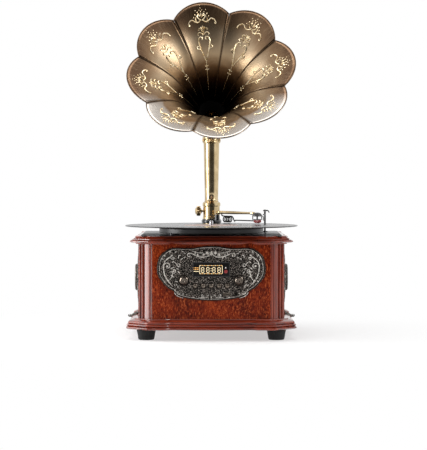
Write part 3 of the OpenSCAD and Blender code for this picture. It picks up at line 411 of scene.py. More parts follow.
# Near-black painted shade, used for the inside of the horn's throat.
painted_shade_black = moulded("painted_shade_black", (0.002, 0.0016, 0.0014), 0.85, shine=0.05)
cone_black = moulded("cone_paper", (0.03, 0.03, 0.032), 0.8, grain=1800, depth=0.0001)
label_paper = moulded("label_paper", (0.4, 0.3, 0.27), 0.6, grain=1800)

print("label:", label_paper.name)

# %% Cloth and vinyl
def woven():
    f = Finish("speaker_cloth", Roughness=0.9)
    warp, weft = (f.node("TexWave", {"bands_direction": axis}, {"Vector": f.place(), "Scale": 260, "Distortion": 0.4})
                  for axis in "YZ")
    threads = warp * weft
    f.set("Base Color", f.mix(threads, (0.006, 0.006, 0.006), (0.07, 0.062, 0.05)))
    f.bump(threads, 0.0003, 0.9)
    return f.material

def pressed_vinyl():
    f = Finish("vinyl")
    far = f.vector_math("LENGTH", f.place(scale=(1, 1, 0), move=(0, -spindle_y * mm, 0)))
    groove = far.math("SINE", far * 9000)
    band = f.noise(f.node("CombineXYZ", {}, {0: far * 90}), 1.0, 3, 0.6)
    f.set("Base Color", f.mix(band, (0.004, 0.004, 0.004), (0.016, 0.016, 0.017)))
    f.set("Roughness", 0.17 + band * 0.12)
    f.bump(groove, 0.00003, 0.35)
    return f.material

cloth = woven()
vinyl = pressed_vinyl()
print("woven and pressed:", cloth.name, vinyl.name)

# %% [markdown]
# The signs of the display glow a little. Their strength is low, so that they keep their colour in the picture.

# %% Glowing marks
def glow(name, colour, strength):
    f = Finish(name, Roughness=0.4, Emission_Color=colour, Emission_Strength=strength)
    f.set("Base Color", f.mix(f.noise(f.place(), 900), colour, tuple(0.6 * c for c in colour)))
    return f.material

amber = glow("amber_marks", (1.0, 0.5, 0.14), 0.6)
cream_glow = glow("cream_segments", (1.0, 0.82, 0.5), 0.6)
white_mark = glow("white_mark", (0.9, 0.88, 0.85), 0.4)
red_mark = glow("red_eye", (0.25, 0.02, 0.02), 0.2)
print("finishes:", len(bpy.data.materials))

# %% [markdown]
# ## Helpers for the pieces
# Each piece is built in millimetres, about its own middle, and is then moved to its place and scaled to metres.
# A scroll, a wire or a bead is a stroke: a curve whose thickness changes along it, made into a mesh so that its
# pattern and its place stay fixed.

# %% Piece helpers
def mesh_object(name, bm, material):
    """Scale a bmesh to metres and put it into the scene."""
    bmesh.ops.scale(bm, vec=(mm, mm, mm), verts=bm.verts)
    mesh = bpy.data.meshes.new(name)
    bm.to_mesh(mesh)
    bm.free()
    mesh.materials.append(material)
    thing = bpy.data.objects.new(name, mesh)
    bpy.context.scene.collection.objects.link(thing)
    return thing

def piece(name, bm, material, body, replaces=(), angle=35, place=None):
    """A piece that rides on a body. Edges that are sharper than the angle stay sharp."""
    if place is not None:
        bmesh.ops.transform(bm, matrix=place, verts=bm.verts)
    thing = mesh_object(name, bm, material)
    thing.data.shade_smooth()
    thing.data.set_sharp_from_angle(angle=math.radians(angle))
    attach(thing, body)
    if replaces:
        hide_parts(*replaces)
    return thing

def shift(x=0.0, y=0.0, z=0.0):
    return Matrix.Translation((x, y, z))

def turning(degrees, axis="Z"):
    return Matrix.Rotation(math.radians(degrees), 4, axis)

def cabinet_frame(x=0.0, y=0.0):
    return shift(x, y + cabinet_y)

print("cabinet frame at y", round(cabinet_frame().translation.y, 1))

# %% Strokes
def strokes(lines, sides=2, smooth=4, cyclic=False, bm=None, kind="NURBS"):
    data = bpy.data.curves.new("strokes", "CURVE")
    data.dimensions = "3D"
    data.bevel_depth = 1
    data.bevel_resolution = sides
    data.use_fill_caps = True
    data.resolution_u = smooth
    for line in lines:
        spline = data.splines.new(kind)
        spline.points.add(len(line) - 1)
        for point, (x, y, z, r) in zip(spline.points, line):
            point.co = (x, y, z, 1)
            point.radius = r
        if kind == "NURBS":
            spline.order_u = 4
            spline.use_endpoint_u = not cyclic
        spline.use_cyclic_u = cyclic
    holder = bpy.data.objects.new("strokes", data)
    mesh = bpy.data.meshes.new_from_object(holder)
    bm = bm or bmesh.new()
    bm.from_mesh(mesh)
    bpy.data.objects.remove(holder)
    bpy.data.meshes.remove(mesh)
    bmesh.ops.remove_doubles(bm, verts=bm.verts, dist=1e-5)
    return bm

print("strokes ready")

# %% [markdown]
# ## The arm's lead
# A thin rubber lead leaves the underside of the arm, makes a few loose turns that let the arm lift, and runs straight
# on to the cartridge. It is a free cord, so it is made first, from where it leaves, how long and thick it is, and how
# it lies. Its route is the one that the CAD model sweeps.

# %% The lead's route
pin_x, pin_y, arm_angle, hinge_z, arm_r = 10.5, 101, -50.6, 212, 2.2
arm_frame = cabinet_frame(pin_x, pin_y) @ turning(arm_angle)
lead_d, lead_from, coil_from, coil_to, coil_r, coil_turns, per_turn = 2.2, 13, 20, 40, 5.2, 4.25, 24
lead_top = hinge_z - arm_r - 0.05
coil_z = groove_z + 1 + coil_r + lead_d / 2
wire_z, lead_end, sink_length, sink_depth = coil_z - 1.8, 106.45, 12, 0.55

def lead_route():
    drop = lead_top - lead_d
    route = [(lead_from, 0, lead_top), (lead_from, 0, drop)]
    for i in range(1, 9):
        a = math.radians(10 * i)
        route.append((lead_from + (coil_from - lead_from) * (1 - math.cos(a)), 0,
                      drop + (coil_z + coil_r - drop) * math.sin(a)))
    for i in range(int(coil_turns * per_turn) + 1):
        a = math.tau * i / per_turn
        along = i / (coil_turns * per_turn)
        route.append((coil_from + (coil_to - coil_from) * along, coil_r * math.sin(a), coil_z + coil_r * math.cos(a)))
    for i in range(1, 9):
        t = i / 8
        ease = 3 * t * t - 2 * t ** 3
        route.append((coil_to + sink_length * t, coil_r * (1 - ease),
                      coil_z + (wire_z - coil_z) * t - coil_r * sink_depth * math.sin(math.pi * t)))
    return route + [(lead_end - lead_d, 0, wire_z), (lead_end, 0, wire_z)]

print("route points:", len(lead_route()))

# %% The lead
route = [arm_frame @ Vector(p) for p in lead_route()]
tube = strokes([[(*p, lead_d / 2) for p in route]], sides=3, kind="POLY")
lead = piece("arm_lead_coil", tube, rubber, "arm", ["arm_lead"], 60)

# %% [markdown]
# ## The floor
# A pale floor takes the player's soft shadow. Away from the player it turns into the same white as the world, for
# the camera and for reflections, so that no horizon cuts the picture.

# %% Floor
def floor_finish():
    f = Finish("pale_floor", Roughness=0.7)
    f.set("Base Color", f.mix(f.noise(f.place(), 3), (0.9, 0.9, 0.9), (0.93, 0.93, 0.93)))
    far = f.vector_math("LENGTH", f.place())
    facing = f.vector_math("DOT_PRODUCT", f.vector_math("NORMALIZE", f.place(), out=0), dim_side)
    dim = 1 - f.span(far, 1.6, 2.0) * (1 - f.span(facing, 0.55, 0.9, 1.0, dim_level))
    away = f.span(far, 0.15, 0.6, 0.5)
    camera_rays, shiny_rays = f.ray("Camera"), f.ray("Glossy")
    white = f.node("Emission", {}, {"Color": (1, 1, 1), "Strength": camera_rays + shiny_rays * dim})
    both = f.node("MixShader", {}, {0: away * (camera_rays + shiny_rays), 2: white})
    f.links.new(f.shader.outputs[0], both.socket.node.inputs[1])
    f.links.new(both.socket, f.nodes["Material Output"].inputs["Surface"])
    return f.material

bm = bmesh.new()
bmesh.ops.create_grid(bm, x_segments=2, y_segments=2, size=6000)
floor = mesh_object("floor", bm, floor_finish())
floor.location.z = -0.5 * mm
print("floor", round(floor.dimensions.x), "m wide")

# %% [markdown]
# ## The moulded boards
# The base board and the top board have the same plan: each side bows out a little in its middle, sinks in an
# ogee beside the corner and ends in a flat pedestal, and the corners are cut off at a slant. A router cuts their
# profile. So the plan is drawn once as a face, and is extruded upwards step by step along the profile. At each
# step the new edge moves in or out by the profile's reach.

# %% The boards' plan
pedestal, ogee, edge_hollow, bow_drop, corner_cut = 19, 16, 6, 1, 24

def edge_sink(s, flat_end):
    start = flat_end - pedestal
    hollow = start - ogee
    if s >= start:
        return 0
    if s >= hollow:
        return edge_hollow * (1 - math.cos(math.pi * (start - s) / ogee)) / 2
    return bow_drop + (edge_hollow - bow_drop) * (s / hollow) ** 2

def board_plan(out):
    """The outline of a board that stands out by this much, about the cabinet's middle."""
    lean = math.tan(math.radians(22.5))
    front, side = half_w - corner_cut, half_d - corner_cut

    def stops(flat_end):
        start = flat_end - pedestal
        hollow = start - ogee
        return [hollow * i / 10 for i in range(10)] + [start - ogee * i / 10 for i in range(10, -1, -1)]

    quarter = [(s, -(half_d + out - edge_sink(s, front))) for s in stops(front)]
    quarter += [(front + out * lean, -(half_d + out)), (half_w + out, -(side + out * lean))]
    quarter += [(half_w + out - edge_sink(s, side), -s) for s in reversed(stops(side))]
    plan = quarter + [(x, -y) for x, y in reversed(quarter[:-1])]
    return plan + [(-x, y) for x, y in reversed(plan[1:-1])]

def moulded_board(profile, reach, low, thick):
    bm = bmesh.new()
    plans = [board_plan(reach * share) for height, share in profile]
    face = bm.faces.new([bm.verts.new((x, y, low)) for x, y in plans[0]])
    for (height, share), before, plan in zip(profile[1:], plans, plans[1:]):
        made = bmesh.ops.extrude_face_region(bm, geom=[face])["geom"]
        face = next(g for g in made if isinstance(g, bmesh.types.BMFace))
        for v in face.verts:
            nearest = min(range(len(plan)), key=lambda i: math.dist(before[i], v.co.xy))
            v.co = (*plan[nearest], low + thick * height)
    bmesh.ops.recalc_face_normals(bm, faces=bm.faces)
    return bm

def arc(z0, r0, z1, r1, bulge, count=7):
    """A curved stretch of a profile, between two points (height, reach). bulge > 0 swells outwards."""
    points = []
    for i in range(count):
        t = i / (count - 1)
        points.append((z0 + (z1 - z0) * t, r0 + (r1 - r0) * t + bulge * math.sin(math.pi * t)))
    return points

print("plan points:", len(board_plan(10)))

# %% The base board and the top board
base_profile = (arc(0, 0.82, 0.28, 0.86, 0.14) + [(0.3, 0.83)] + arc(0.31, 0.84, 0.5, 0.83, 0.1)
                + [(0.53, 0.76)] + arc(0.55, 0.8, 0.93, 0.36, 0.18, 10) + [(0.95, 0.3), (1, 0.28)])
top_profile = ([(0, 0.25), (0.12, 0.3), (0.13, 0.6)] + arc(0.14, 0.7, 0.5, 0.7, 0.3, 11)
               + [(0.51, 0.52), (0.56, 0.5), (0.57, 0.62), (0.62, 0.6)] + arc(0.64, 0.52, 0.9, 0.2, -0.03)
               + [(0.92, 0.16), (1, 0.15)])
board_z, base_top = plinth_low.z, plinth_high.z
base_reach, top_reach = plinth_high.x - half_w, 14.75
top_z = box_mm("top_board")[0].z
base = moulded_board(base_profile, base_reach, board_z, base_top - board_z)
piece("base_board", base, wood_along_x, "cabinet", ["plinth"], place=cabinet_frame())
top = moulded_board(top_profile, top_reach, top_z, deck_z - top_z)
piece("top_board_edge", top, wood_along_x, "cabinet", ["top_board"], place=cabinet_frame())
print("boards at", round(board_z), round(top_z))

# %% [markdown]
# The top board is solid up to the deck's face here, so the black deck plate lies on it as a thin glossy sheet.
# Its corners are rounded.

# %% Deck sheet
def box_of(bm, low, high):
    made = bmesh.ops.create_cube(bm, size=1)["verts"]
    bmesh.ops.scale(bm, vec=[h - l for l, h in zip(low, high)], verts=made)
    bmesh.ops.translate(bm, vec=[(h + l) / 2 for l, h in zip(low, high)], verts=made)
    return made

deck_low, deck_high = box_mm("deck_plate")
bm = bmesh.new()
box_of(bm, (deck_low.x, deck_low.y, deck_z - 0.6), (deck_high.x, deck_high.y, deck_z + 0.02))
upright = [e for e in bm.edges if abs(e.verts[0].co.z - e.verts[1].co.z) > 0.1]
bmesh.ops.bevel(bm, geom=upright, offset=9, segments=6, profile=0.5, affect="EDGES", material=-1)
piece("deck_sheet", bm, deck_gloss, "cabinet", ["deck_plate"])
print("deck sheet from", [round(v) for v in deck_low], "to", [round(v) for v in deck_high])

# %% [markdown]
# ## The reeded corners
# Each slanted corner is a strip of moulding that came off a long length: a thin bead beside the front panel, a
# broad flat pillar, and then two reeds. A length of moulding is a section drawn once and extruded, so that is how
# it is made. The other three corners are mirror images, and a mirror turns a shape inside out, so the faces are
# turned back afterwards.

# %% Corner columns
def raised(bm, faces, height):
    """Extrude faces upwards into a closed slab."""
    made = bmesh.ops.extrude_face_region(bm, geom=faces)["geom"]
    bmesh.ops.translate(bm, vec=(0, 0, height), verts=[g for g in made if isinstance(g, bmesh.types.BMVert)])
    bmesh.ops.recalc_face_normals(bm, faces=bm.faces)

def half_round(middle, radius, steps=8):
    turns = [math.pi * k / steps for k in range(steps + 1)]
    return [(middle - radius * math.cos(a), radius * math.sin(a)) for a in turns]

def reed_section():
    points = [(0, -7), (0, -0.3), (1.7, -0.3)] + half_round(3.4, 1.4) + [(5.3, -0.9)]
    points += [(5.9, 0.2), (6.3, 0.95), (8.5, 1.25), (11.3, 1.35), (14.1, 1.25), (16.3, 0.95), (16.7, 0.2)]
    points += [(17.5, -1.0), (19.9, -1.0)] + half_round(22.6, 2.1) + [(25.4, -1.2), (26.4, -1.2)]
    return points + half_round(29.3, 2.4) + [(32.3, -1.2), (33.1, -1.2), (33.9, -0.4), (33.9, -7)]

def corner_columns():
    bm = bmesh.new()
    s = math.sqrt(0.5)
    x0, y0 = half_w - corner_cut, -half_d
    ring = [bm.verts.new((x0 + a * s + n * s, y0 + a * s - n * s, base_top)) for a, n in reed_section()]
    raised(bm, [bm.faces.new(ring)], top_z - base_top)
    for axis in ("X", "Y"):
        bmesh.ops.mirror(bm, geom=list(bm.verts) + list(bm.edges) + list(bm.faces), axis=axis, merge_dist=0.0001)
    bmesh.ops.recalc_face_normals(bm, faces=bm.faces)
    return bm

columns = corner_columns()
piece("corner_columns", columns, wood_upright, "cabinet", ["corner_posts"], 40, cabinet_frame())
print("columns from", round(base_top), "to", round(top_z))

# %% [markdown]
# The feet are rubber, moulded with a draft and a rounded lip, and a screw holds each one from below. They are
# round, and a round part is a profile that is spun about its axis. The helper for this serves every turned part.

# %% Feet
def turned(profile, steps=64, bm=None):
    bm = bm or bmesh.new()
    old = set(bm.verts)
    ring = [bm.verts.new((r, 0, z)) for r, z in profile]
    edges = [bm.edges.new(pair) for pair in zip(ring, ring[1:])]
    bmesh.ops.spin(bm, geom=ring + edges, cent=(0, 0, 0), axis=(0, 0, 1), dvec=(0, 0, 0), angle=math.tau,
                   steps=steps, use_merge=True, use_duplicate=False)
    fresh = [v for v in bm.verts if v not in old]
    bmesh.ops.remove_doubles(bm, verts=fresh, dist=1e-4)
    bmesh.ops.recalc_face_normals(bm, faces=[f for f in bm.faces if not set(f.verts) & old])
    return bm

foot_r = half_mm("foot_front_left").x
foot_profile = [(0, 9), (4.4, 9), (4.4, 0.8), (5.2, 0), (foot_r - 4.2, 0), (foot_r - 3.2, 0.6), (foot_r - 2.8, 1.6),
                (foot_r - 0.6, 14), (foot_r - 0.1, 15.5), (foot_r, 17), (foot_r - 0.3, board_z), (0, board_z)]
for across in ("left", "right"):
    for end in ("front", "back"):
        node = f"foot_{end}_{across}"
        x, y, _ = middle_mm(node)
        piece("rubber_" + node, turned(foot_profile, 40), rubber, "cabinet", [node], place=shift(x, y))
print("feet", round(foot_r, 1), "mm in radius")

# %% [markdown]
# ## The cast front plate
# The plate is a thin bronze casting with a wavy outline, a pitted ground and raised scrolls. Its ground is the
# outline with holes in it, filled and extruded. Its edge is a rounded rim. Every scroll is a stroke that swells
# and tapers, drawn for the right half and mirrored.

# %% Plate outline
plate_z = middle_mm("faceplate").z
plate_half_w, _, plate_half_h = half_mm("faceplate")
plate_front = box_mm("display_window")[0].y
half_outline = [(0, 1), (0.2, 0.97), (0.33, 0.91), (0.5, 0.905), (0.66, 0.93), (0.77, 0.905), (0.87, 0.77),
                (0.955, 0.61), (0.985, 0.4), (1, 0.19), (0.995, 0), (0.965, -0.16), (0.87, -0.4), (0.78, -0.575),
                (0.7, -0.615), (0.665, -0.75), (0.6, -0.84), (0.43, -0.92), (0.2, -0.98), (0, -1)]
outline = [(x * plate_half_w, z * plate_half_h) for x, z in half_outline]
outline += [(-x, z) for x, z in reversed(outline[1:-1])]

def ring_of(radius, count, x=0.0, y=0.0):
    turns = [math.tau * i / count for i in range(count)]
    return [(x + radius * math.cos(turn), y + radius * math.sin(turn)) for turn in turns]

def loop_of(bm, points, height=0.0):
    ring = [bm.verts.new((x, z, height)) for x, z in points]
    return [bm.edges.new(pair) for pair in zip(ring, ring[1:] + ring[:1])]

def outline_of(node):
    """The corners of a node's box, seen on the plate."""
    low, high = box_mm(node)
    z0, z1 = low.z - plate_z, high.z - plate_z
    return [(low.x, z0), (high.x, z0), (high.x, z1), (low.x, z1)]

def spot_of(node):
    """The middle of a node, seen on the plate."""
    middle = middle_mm(node)
    return middle.x, middle.z - plate_z

knob_spots = [spot_of("volume_knob"), spot_of("tuning_knob")]
button_spots = [spot_of(f"button_{i}") for i in range(1, 6)]
holes = [(spot, 4.4) for spot in knob_spots] + [(spot, 4.0) for spot in button_spots] + [(spot_of("aux_socket"), 4.2)]
print("plate", round(2 * plate_half_w), "x", round(2 * plate_half_h), "round holes", len(holes))

# %% Plate ground and rim
plate_depth = front_y - plate_front
bm = bmesh.new()
edges = loop_of(bm, outline) + loop_of(bm, outline_of("display_window"))
for (x, z), r in holes:
    edges += loop_of(bm, ring_of(r, 28, x, z))
edges += loop_of(bm, outline_of("usb_socket"))
bmesh.ops.triangle_fill(bm, use_beauty=True, edges=edges)
raised(bm, list(bm.faces), plate_depth)
on_plate = shift(0, front_y, plate_z) @ turning(90, "X")

def plate_piece(name, bm, material, replaces=(), spot=(0, 0, 0)):
    """A piece of the cabinet that lies on the plate."""
    piece(name, bm, material, "cabinet", replaces, place=on_plate @ shift(*spot))

plate_piece("plate_ground", bm, pitted, replaces=["faceplate"])

def inset_outline(share):
    return [(x * share, z * (share - 0.02 * (1 - share))) for x, z in outline]

rim = [[(x, z, plate_depth - 0.1, 1.15) for x, z in inset_outline(0.985)]]
bead = [[(x, z, plate_depth, 0.4) for x, z in inset_outline(0.955)]]
plate_piece("plate_rim", strokes(rim, 3, 3, True), cast_edge)
plate_piece("plate_bead", strokes(bead, 2, 3, True), cast_relief)
print("plate ground and rim made")

# %% [markdown]
# The ornament is what makes the plate look cast: a festoon with blossoms along the top, a large leafy scroll at
# each end and smaller ones along the bottom. Scrolls are spirals joined to sweeping lines, leaves are teardrops,
# and blossoms are rings of small leaves.

# %% Curls and leaves
def spiral(cx, cy, r0, r1, start, sweep, w0, w1, count=14):
    """Points (x, y, width) of a curl from radius r0 to r1, in degrees."""
    points = []
    for i in range(count):
        s = i / (count - 1)
        a = math.radians(start + sweep * s)
        r = r0 + (r1 - r0) * s
        points.append((cx + r * math.cos(a), cy + r * math.sin(a), w0 + (w1 - w0) * s))
    return points

def leaf(x, y, direction, length, width):
    """A teardrop stroke, from its stalk to its tip."""
    c, s = math.cos(math.radians(direction)), math.sin(math.radians(direction))
    share = [(0.0, 0.15), (0.2, 0.8), (0.5, 1.0), (0.8, 0.55), (1.0, 0.1)]
    return [(x + c * length * t, y + s * length * t, width * w) for t, w in share]

def mirrored(lines):
    return [[(-p[0], *p[1:]) for p in line] for line in lines]

def lifted(lines, height):
    return [[(x, y, height, w) for x, y, w in line] for line in lines]

def blossom(x, y, size, turn=0):
    return [leaf(x, y, turn + 60 * i, size, size * 0.28) for i in range(6)]

print("points of a curl:", len(spiral(0, 0, 2, 1, 0, 360, 1, 1)))

# %% Plate ornament
def leafy_scroll():
    """The big scroll at the right end of the plate, with its leaves."""
    lines = [spiral(80, 13, 3.2, 7.6, 300, -330, 0.5, 1.2, 18) + [(86.5, 4, 1.2), (84, -7, 1.15), (77, -17, 1.0),
                                                                 (69.5, -24.5, 0.5)],
             spiral(69.5, 29, 2.2, 5.2, 160, 300, 0.4, 1.0, 14) + [(78, 28, 1.0), (84.5, 23, 0.9), (87, 16, 0.5)],
             spiral(68.5, 3, 1.8, 4.6, 40, -320, 0.4, 0.9, 14) + [(71, -8, 0.8), (76, -13, 0.4)],
             spiral(60, 15.5, 1.5, 3.6, 0, 300, 0.35, 0.8, 12) + [(64, 20, 0.7), (69, 21.5, 0.4)]]
    for x, y, way, length in ((87, 24, 60, 6), (84, 30, 80, 6), (76, 36, 105, 5.5), (66, 37.5, 130, 5),
                              (74, 8, 150, 8), (75, 3, 185, 8), (74, -3, 215, 8), (78, -12, 250, 7),
                              (84, -13, 285, 6), (72, 19, 140, 6), (64, 9, 200, 6), (61, 4, 230, 6),
                              (66, -14, 200, 7), (64, -20, 230, 6), (55, 24, 120, 5), (60, 27, 100, 5)):
        lines.append(leaf(x, y, way, length, 1.05))
    lines += blossom(80, 13, 2.6) + blossom(68.5, 3, 1.8) + blossom(69.5, 29, 2)
    return [[(x * 0.935, y * 0.92, w) for x, y, w in line] for line in lines]

def festoon():
    """The right half of the festoon along the top."""
    lines = [[(3, 30.5, 0.5), (9, 27.5, 1.0), (17, 27, 1.15), (26, 30.5, 1.15), (33, 33.5, 0.9)]
             + spiral(37.5, 30.5, 3.8, 1.2, 110, -380, 0.9, 0.35, 14),
             [(14, 35, 0.4), (20, 33.6, 0.8), (27, 36, 0.8), (33, 38.5, 0.4)]]
    for x, y, size in ((0, 33.5, 4.4), (7, 35, 3.4), (13, 31.5, 3.0)):
        lines += blossom(x, y, size, 30)
    for x, y, way in ((20, 28, 250), (24, 30, 285), (28, 32, 100), (22, 30, 60), (43, 33, 20), (43, 28, -30),
                      (47, 36, 30), (51, 31, -10)):
        lines.append(leaf(x, y, way, 5.0, 0.9))
    return lines

def lower_trim():
    lines = [spiral(14, -38.5, 2.8, 1.0, 80, -340, 0.75, 0.3, 12), spiral(56, -33, 3.4, 1.0, 200, 330, 0.85, 0.35, 12),
             [(6, -40, 0.4), (10, -41.5, 0.7), (16, -42, 0.7), (22, -40.5, 0.35)],
             [(61, -27, 0.4), (63, -31, 0.8), (61.5, -36, 0.8), (56, -40, 0.7), (48, -42, 0.35)]]
    for x, y, way in ((0, -38, 270), (4, -36.5, 330), (28, -41, 10), (50, -36, 150), (57, -25, 100), (61, -22, 60)):
        lines.append(leaf(x, y, way, 4.6, 0.85))
    return lines

half = leafy_scroll() + festoon() + lower_trim()
relief = strokes(lifted(half + mirrored(half), plate_depth + 0.1), 2, 3)
plate_piece("plate_scrolls", relief, cast_relief)
print("plate strokes:", 2 * len(half))

# %% [markdown]
# ## Display, knobs and keys
# The display is a dark window in a thin raised frame. Behind it glow four digits of seven segments each, inside a
# dashed frame and with small signs at their left. A pale dot and a red eye sit at the right. They lie a hair
# above the window so that they are seen through nothing.

# %% Display window
window_line = outline_of("display_window")
(win_x0, win_z0), (win_x1, win_z1) = window_line[0], window_line[2]
glass = bmesh.new()
box_of(glass, (win_x0, win_z0, plate_depth - 1.4), (win_x1, win_z1, plate_depth - 0.1))
bmesh.ops.bevel(glass, geom=list(glass.edges), offset=0.5, segments=2, profile=0.5, affect="EDGES", material=-1)
plate_piece("display_glass", glass, glass_black, ["display_window"])
window_frame = bmesh.new()
for (ax, az), (bx, bz) in zip(window_line, window_line[1:] + window_line[:1]):
    box_of(window_frame, (min(ax, bx) - 0.8, min(az, bz) - 0.8, plate_depth - 0.4),
           (max(ax, bx) + 0.8, max(az, bz) + 0.8, plate_depth + 0.5))
plate_piece("display_frame", window_frame, black_plastic)
print("window", round(win_x1 - win_x0, 1), "x", round(win_z1 - win_z0, 1))

# %% Digits and marks
digits, marks = bmesh.new(), bmesh.new()
face = plate_depth - 0.1
window_middle = (win_z0 + win_z1) / 2
digit_w, digit_h, segment = 5.4, 8.6, 0.95

def lit(bm, x0, z0, x1, z1):
    box_of(bm, (x0, z0, face), (x1, z1, face + 0.05))

def seven_segments(bm, x, z):
    for up in (z, z + digit_h / 2, z + digit_h):
        lit(bm, x + segment, up - segment / 2, x + digit_w - segment, up + segment / 2)
    for across in (x, x + digit_w - segment):
        for up in (z, z + digit_h / 2):
            lit(bm, across, up + segment * 0.7, across + segment, up + digit_h / 2 - segment * 0.7)

for x in (-17.4, -8.6, 1.6, 10.4):
    seven_segments(digits, x, window_middle - 5.0)
for z in (window_middle - 2.6, window_middle + 1.0):
    lit(digits, -0.9, z, 0.3, z + 1.2)
for x in (-20.2, 18.2):
    lit(digits, x, window_middle - 7.0, x + 0.8, window_middle + 7.0)
for i in range(12):
    x = -19.6 + 3.2 * i
    for z in (window_middle - 7.4, window_middle + 6.4):
        lit(marks if i % 2 else digits, x, z, x + 2.4, z + 0.9)
for i in range(3):
    x = -31.4 + 3.6 * i
    for z in (window_middle - 0.2, window_middle + 2.4):
        lit(marks, x, z, x + 2.5, z + 1.2)
lit(digits, -31.4, window_middle - 3.6, -21.2, window_middle - 2.6)
plate_piece("display_digits", digits, cream_glow)
plate_piece("display_marks", marks, amber)
dot = turned([(0, 0), (1.1, 0), (0.9, 0.3), (0, 0.4)], 20)
plate_piece("display_dot", dot, white_mark, spot=(24.4, window_middle + 3, face))
eye = turned([(0, 0), (3.1, 0), (2.9, 0.5), (1.8, 0.9), (0, 1.0)], 28)
plate_piece("display_eye", eye, red_mark, spot=(24.6, window_middle - 3.4, face))
print("display made")

# %% [markdown]
# The two knobs are turned metal with a fluted edge and a dished face. Each sits in a ring on the plate, dark as painted
# shade around the knob. The five keys are domed studs with rings of their own. The flat and the round socket below them
# stay as the CAD has them.

# %% Knobs
def knurl(bm, count, inner, depth, low=-math.inf, high=math.inf):
    """Press flutes into what lies outside the inner radius, between two heights."""
    for v in bm.verts:
        r = math.hypot(v.co.x, v.co.y)
        turn = math.degrees(math.atan2(v.co.y, v.co.x)) * count / 360
        if r > inner and low < v.co.z < high and abs(turn - round(turn)) < 0.25:
            v.co.x *= 1 - depth / r
            v.co.y *= 1 - depth / r

def fluted_knob(radius, length, flutes=30):
    profile = [(0, 0), (radius, 0), (radius, 0.8), (radius - 0.5, 1.3), (radius - 0.4, length * 0.55),
               (radius - 0.2, length * 0.7), (radius - 0.9, length * 0.88), (radius - 2.0, length), (2.4, length),
               (1.8, length - 0.5), (0, length - 0.6)]
    bm = turned(profile, flutes * 2)
    knurl(bm, flutes, radius - 0.95, 0.45, 1.2, length * 0.8)
    return bm

knob_gap = 0.8
for body, spot in zip(("volume", "tuning"), knob_spots):
    node = body + "_knob"
    knob = fluted_knob(half_mm(node).x, plate_front - box_mm(node)[0].y - knob_gap)
    stalk = turned([(0, -14), (2.9, -14), (2.9, 0.1), (0, 0.1)], 32, knob)
    piece("fluted_" + node, stalk, worn_silver, body, [node], 30,
          on_plate @ shift(*spot, plate_depth + knob_gap))
    # The collar's dark finish is painted shade around the knob.
    collar = turned([(7.6, 0), (10.2, 0), (10.2, 0.5), (9.4, 1.1), (8.4, 0.9), (7.6, 0.2), (7.6, 0)], 40)
    plate_piece("ring_of_" + node, collar, cast_edge, spot=(*spot, plate_depth))
print("knobs at", [tuple(round(v, 1) for v in s) for s in knob_spots])

# %% Keys
for i, spot in enumerate(button_spots, 1):
    reach, r = plate_front - box_mm(f"button_{i}")[0].y, 3.8
    stud = turned([(0, -9.5), (1.8, -9.5), (1.8, -5), (4.8, -5), (4.8, -3.4), (r, -3.3), (r, reach - 1.5),
                   (r * 0.93, reach - 0.8), (r * 0.74, reach - 0.3), (r * 0.4, reach - 0.06), (0, reach)], 36)
    piece(f"key_stud_{i}", stud, worn_silver, f"key_{i}", [f"button_{i}"],
          place=on_plate @ shift(*spot, plate_depth))
    seat = turned([(4.1, 0), (5.4, 0), (5.4, 0.3), (4.7, 0.8), (4.2, 0.5), (4.1, 0)], 32)
    plate_piece(f"key_ring_{i}", seat, cast_edge, spot=(*spot, plate_depth))
print("keys made")

# %% [markdown]
# ## The turntable
# The record is a thin pressed disc: a raised rim keeps the grooves clear of the mat, smooth bands part the
# tracks, and the label sits in a flat middle. All of it is one profile, spun about the spindle. The mat below it
# is turned too, with grooves that catch a line of light. The platter keeps its CAD shape.

# %% Record and mat
def on_spindle(z=0.0):
    return shift(0, spindle_y, z)

def disc(node, profile, material, body):
    """Spin a profile whose heights count from the node's underside."""
    low = box_mm(node)[0]
    return piece(node + "_turned", turned(profile, 192), material, body, [node], 30, on_spindle(low.z))

half_record = half_mm("record")
record_r, hole, low, top = half_record.x, 3.6, 0.1, 2 * half_record.z
bands = [r for r in (62, 76.5, 91, 104.5, 118, 131.5, 144.5) if r < record_r - 6] + [record_r - 4.5]
profile = [(hole, low + 0.2), (hole, top - 0.35), (hole + 0.3, top - 0.25), (48.5, top - 0.25), (49, top - 0.4),
           (50, top - 0.4)]
for inner, outer in zip([50] + bands, bands):
    profile += [(inner + 1.2, top - 0.32), (outer - 1.0, top - 0.32), (outer - 0.6, top - 0.38)]
rim = record_r
profile += [(rim - 4, top - 0.3), (rim - 2.4, top), (rim - 0.9, top - 0.05), (rim, top - 0.7), (rim, low + 0.7),
            (rim - 0.9, low), (rim - 2.6, low), (rim - 4, low + 0.3), (50, low + 0.3), (hole + 0.3, low + 0.1),
            (hole, low + 0.2)]
disc("record", profile, vinyl, "platter")

label = turned([(hole + 0.1, 0), (hole + 0.1, 0.1), (48, 0.1), (48.3, 0), (hole + 0.1, 0)], 96)
piece("record_label", label, label_paper, "platter", place=on_spindle(groove_z - 0.24))

half_mat = half_mm("platter_mat")
mat_r, mat_t = half_mat.x, 2 * half_mat.z
profile = [(hole, 0), (hole, mat_t)]
r = 52
while r < mat_r - 6:
    profile += [(r, mat_t), (r + 0.7, mat_t - 0.5), (r + 2.3, mat_t - 0.5), (r + 3, mat_t)]
    r += 8
profile += [(mat_r - 1, mat_t), (mat_r, mat_t - 0.7), (mat_r, 0.6), (mat_r - 0.8, 0), (hole, 0)]
disc("platter_mat", profile, rubber, "platter")
print("record radius", round(record_r, 1), "mat radius", round(mat_r, 1), "bands", len(bands))

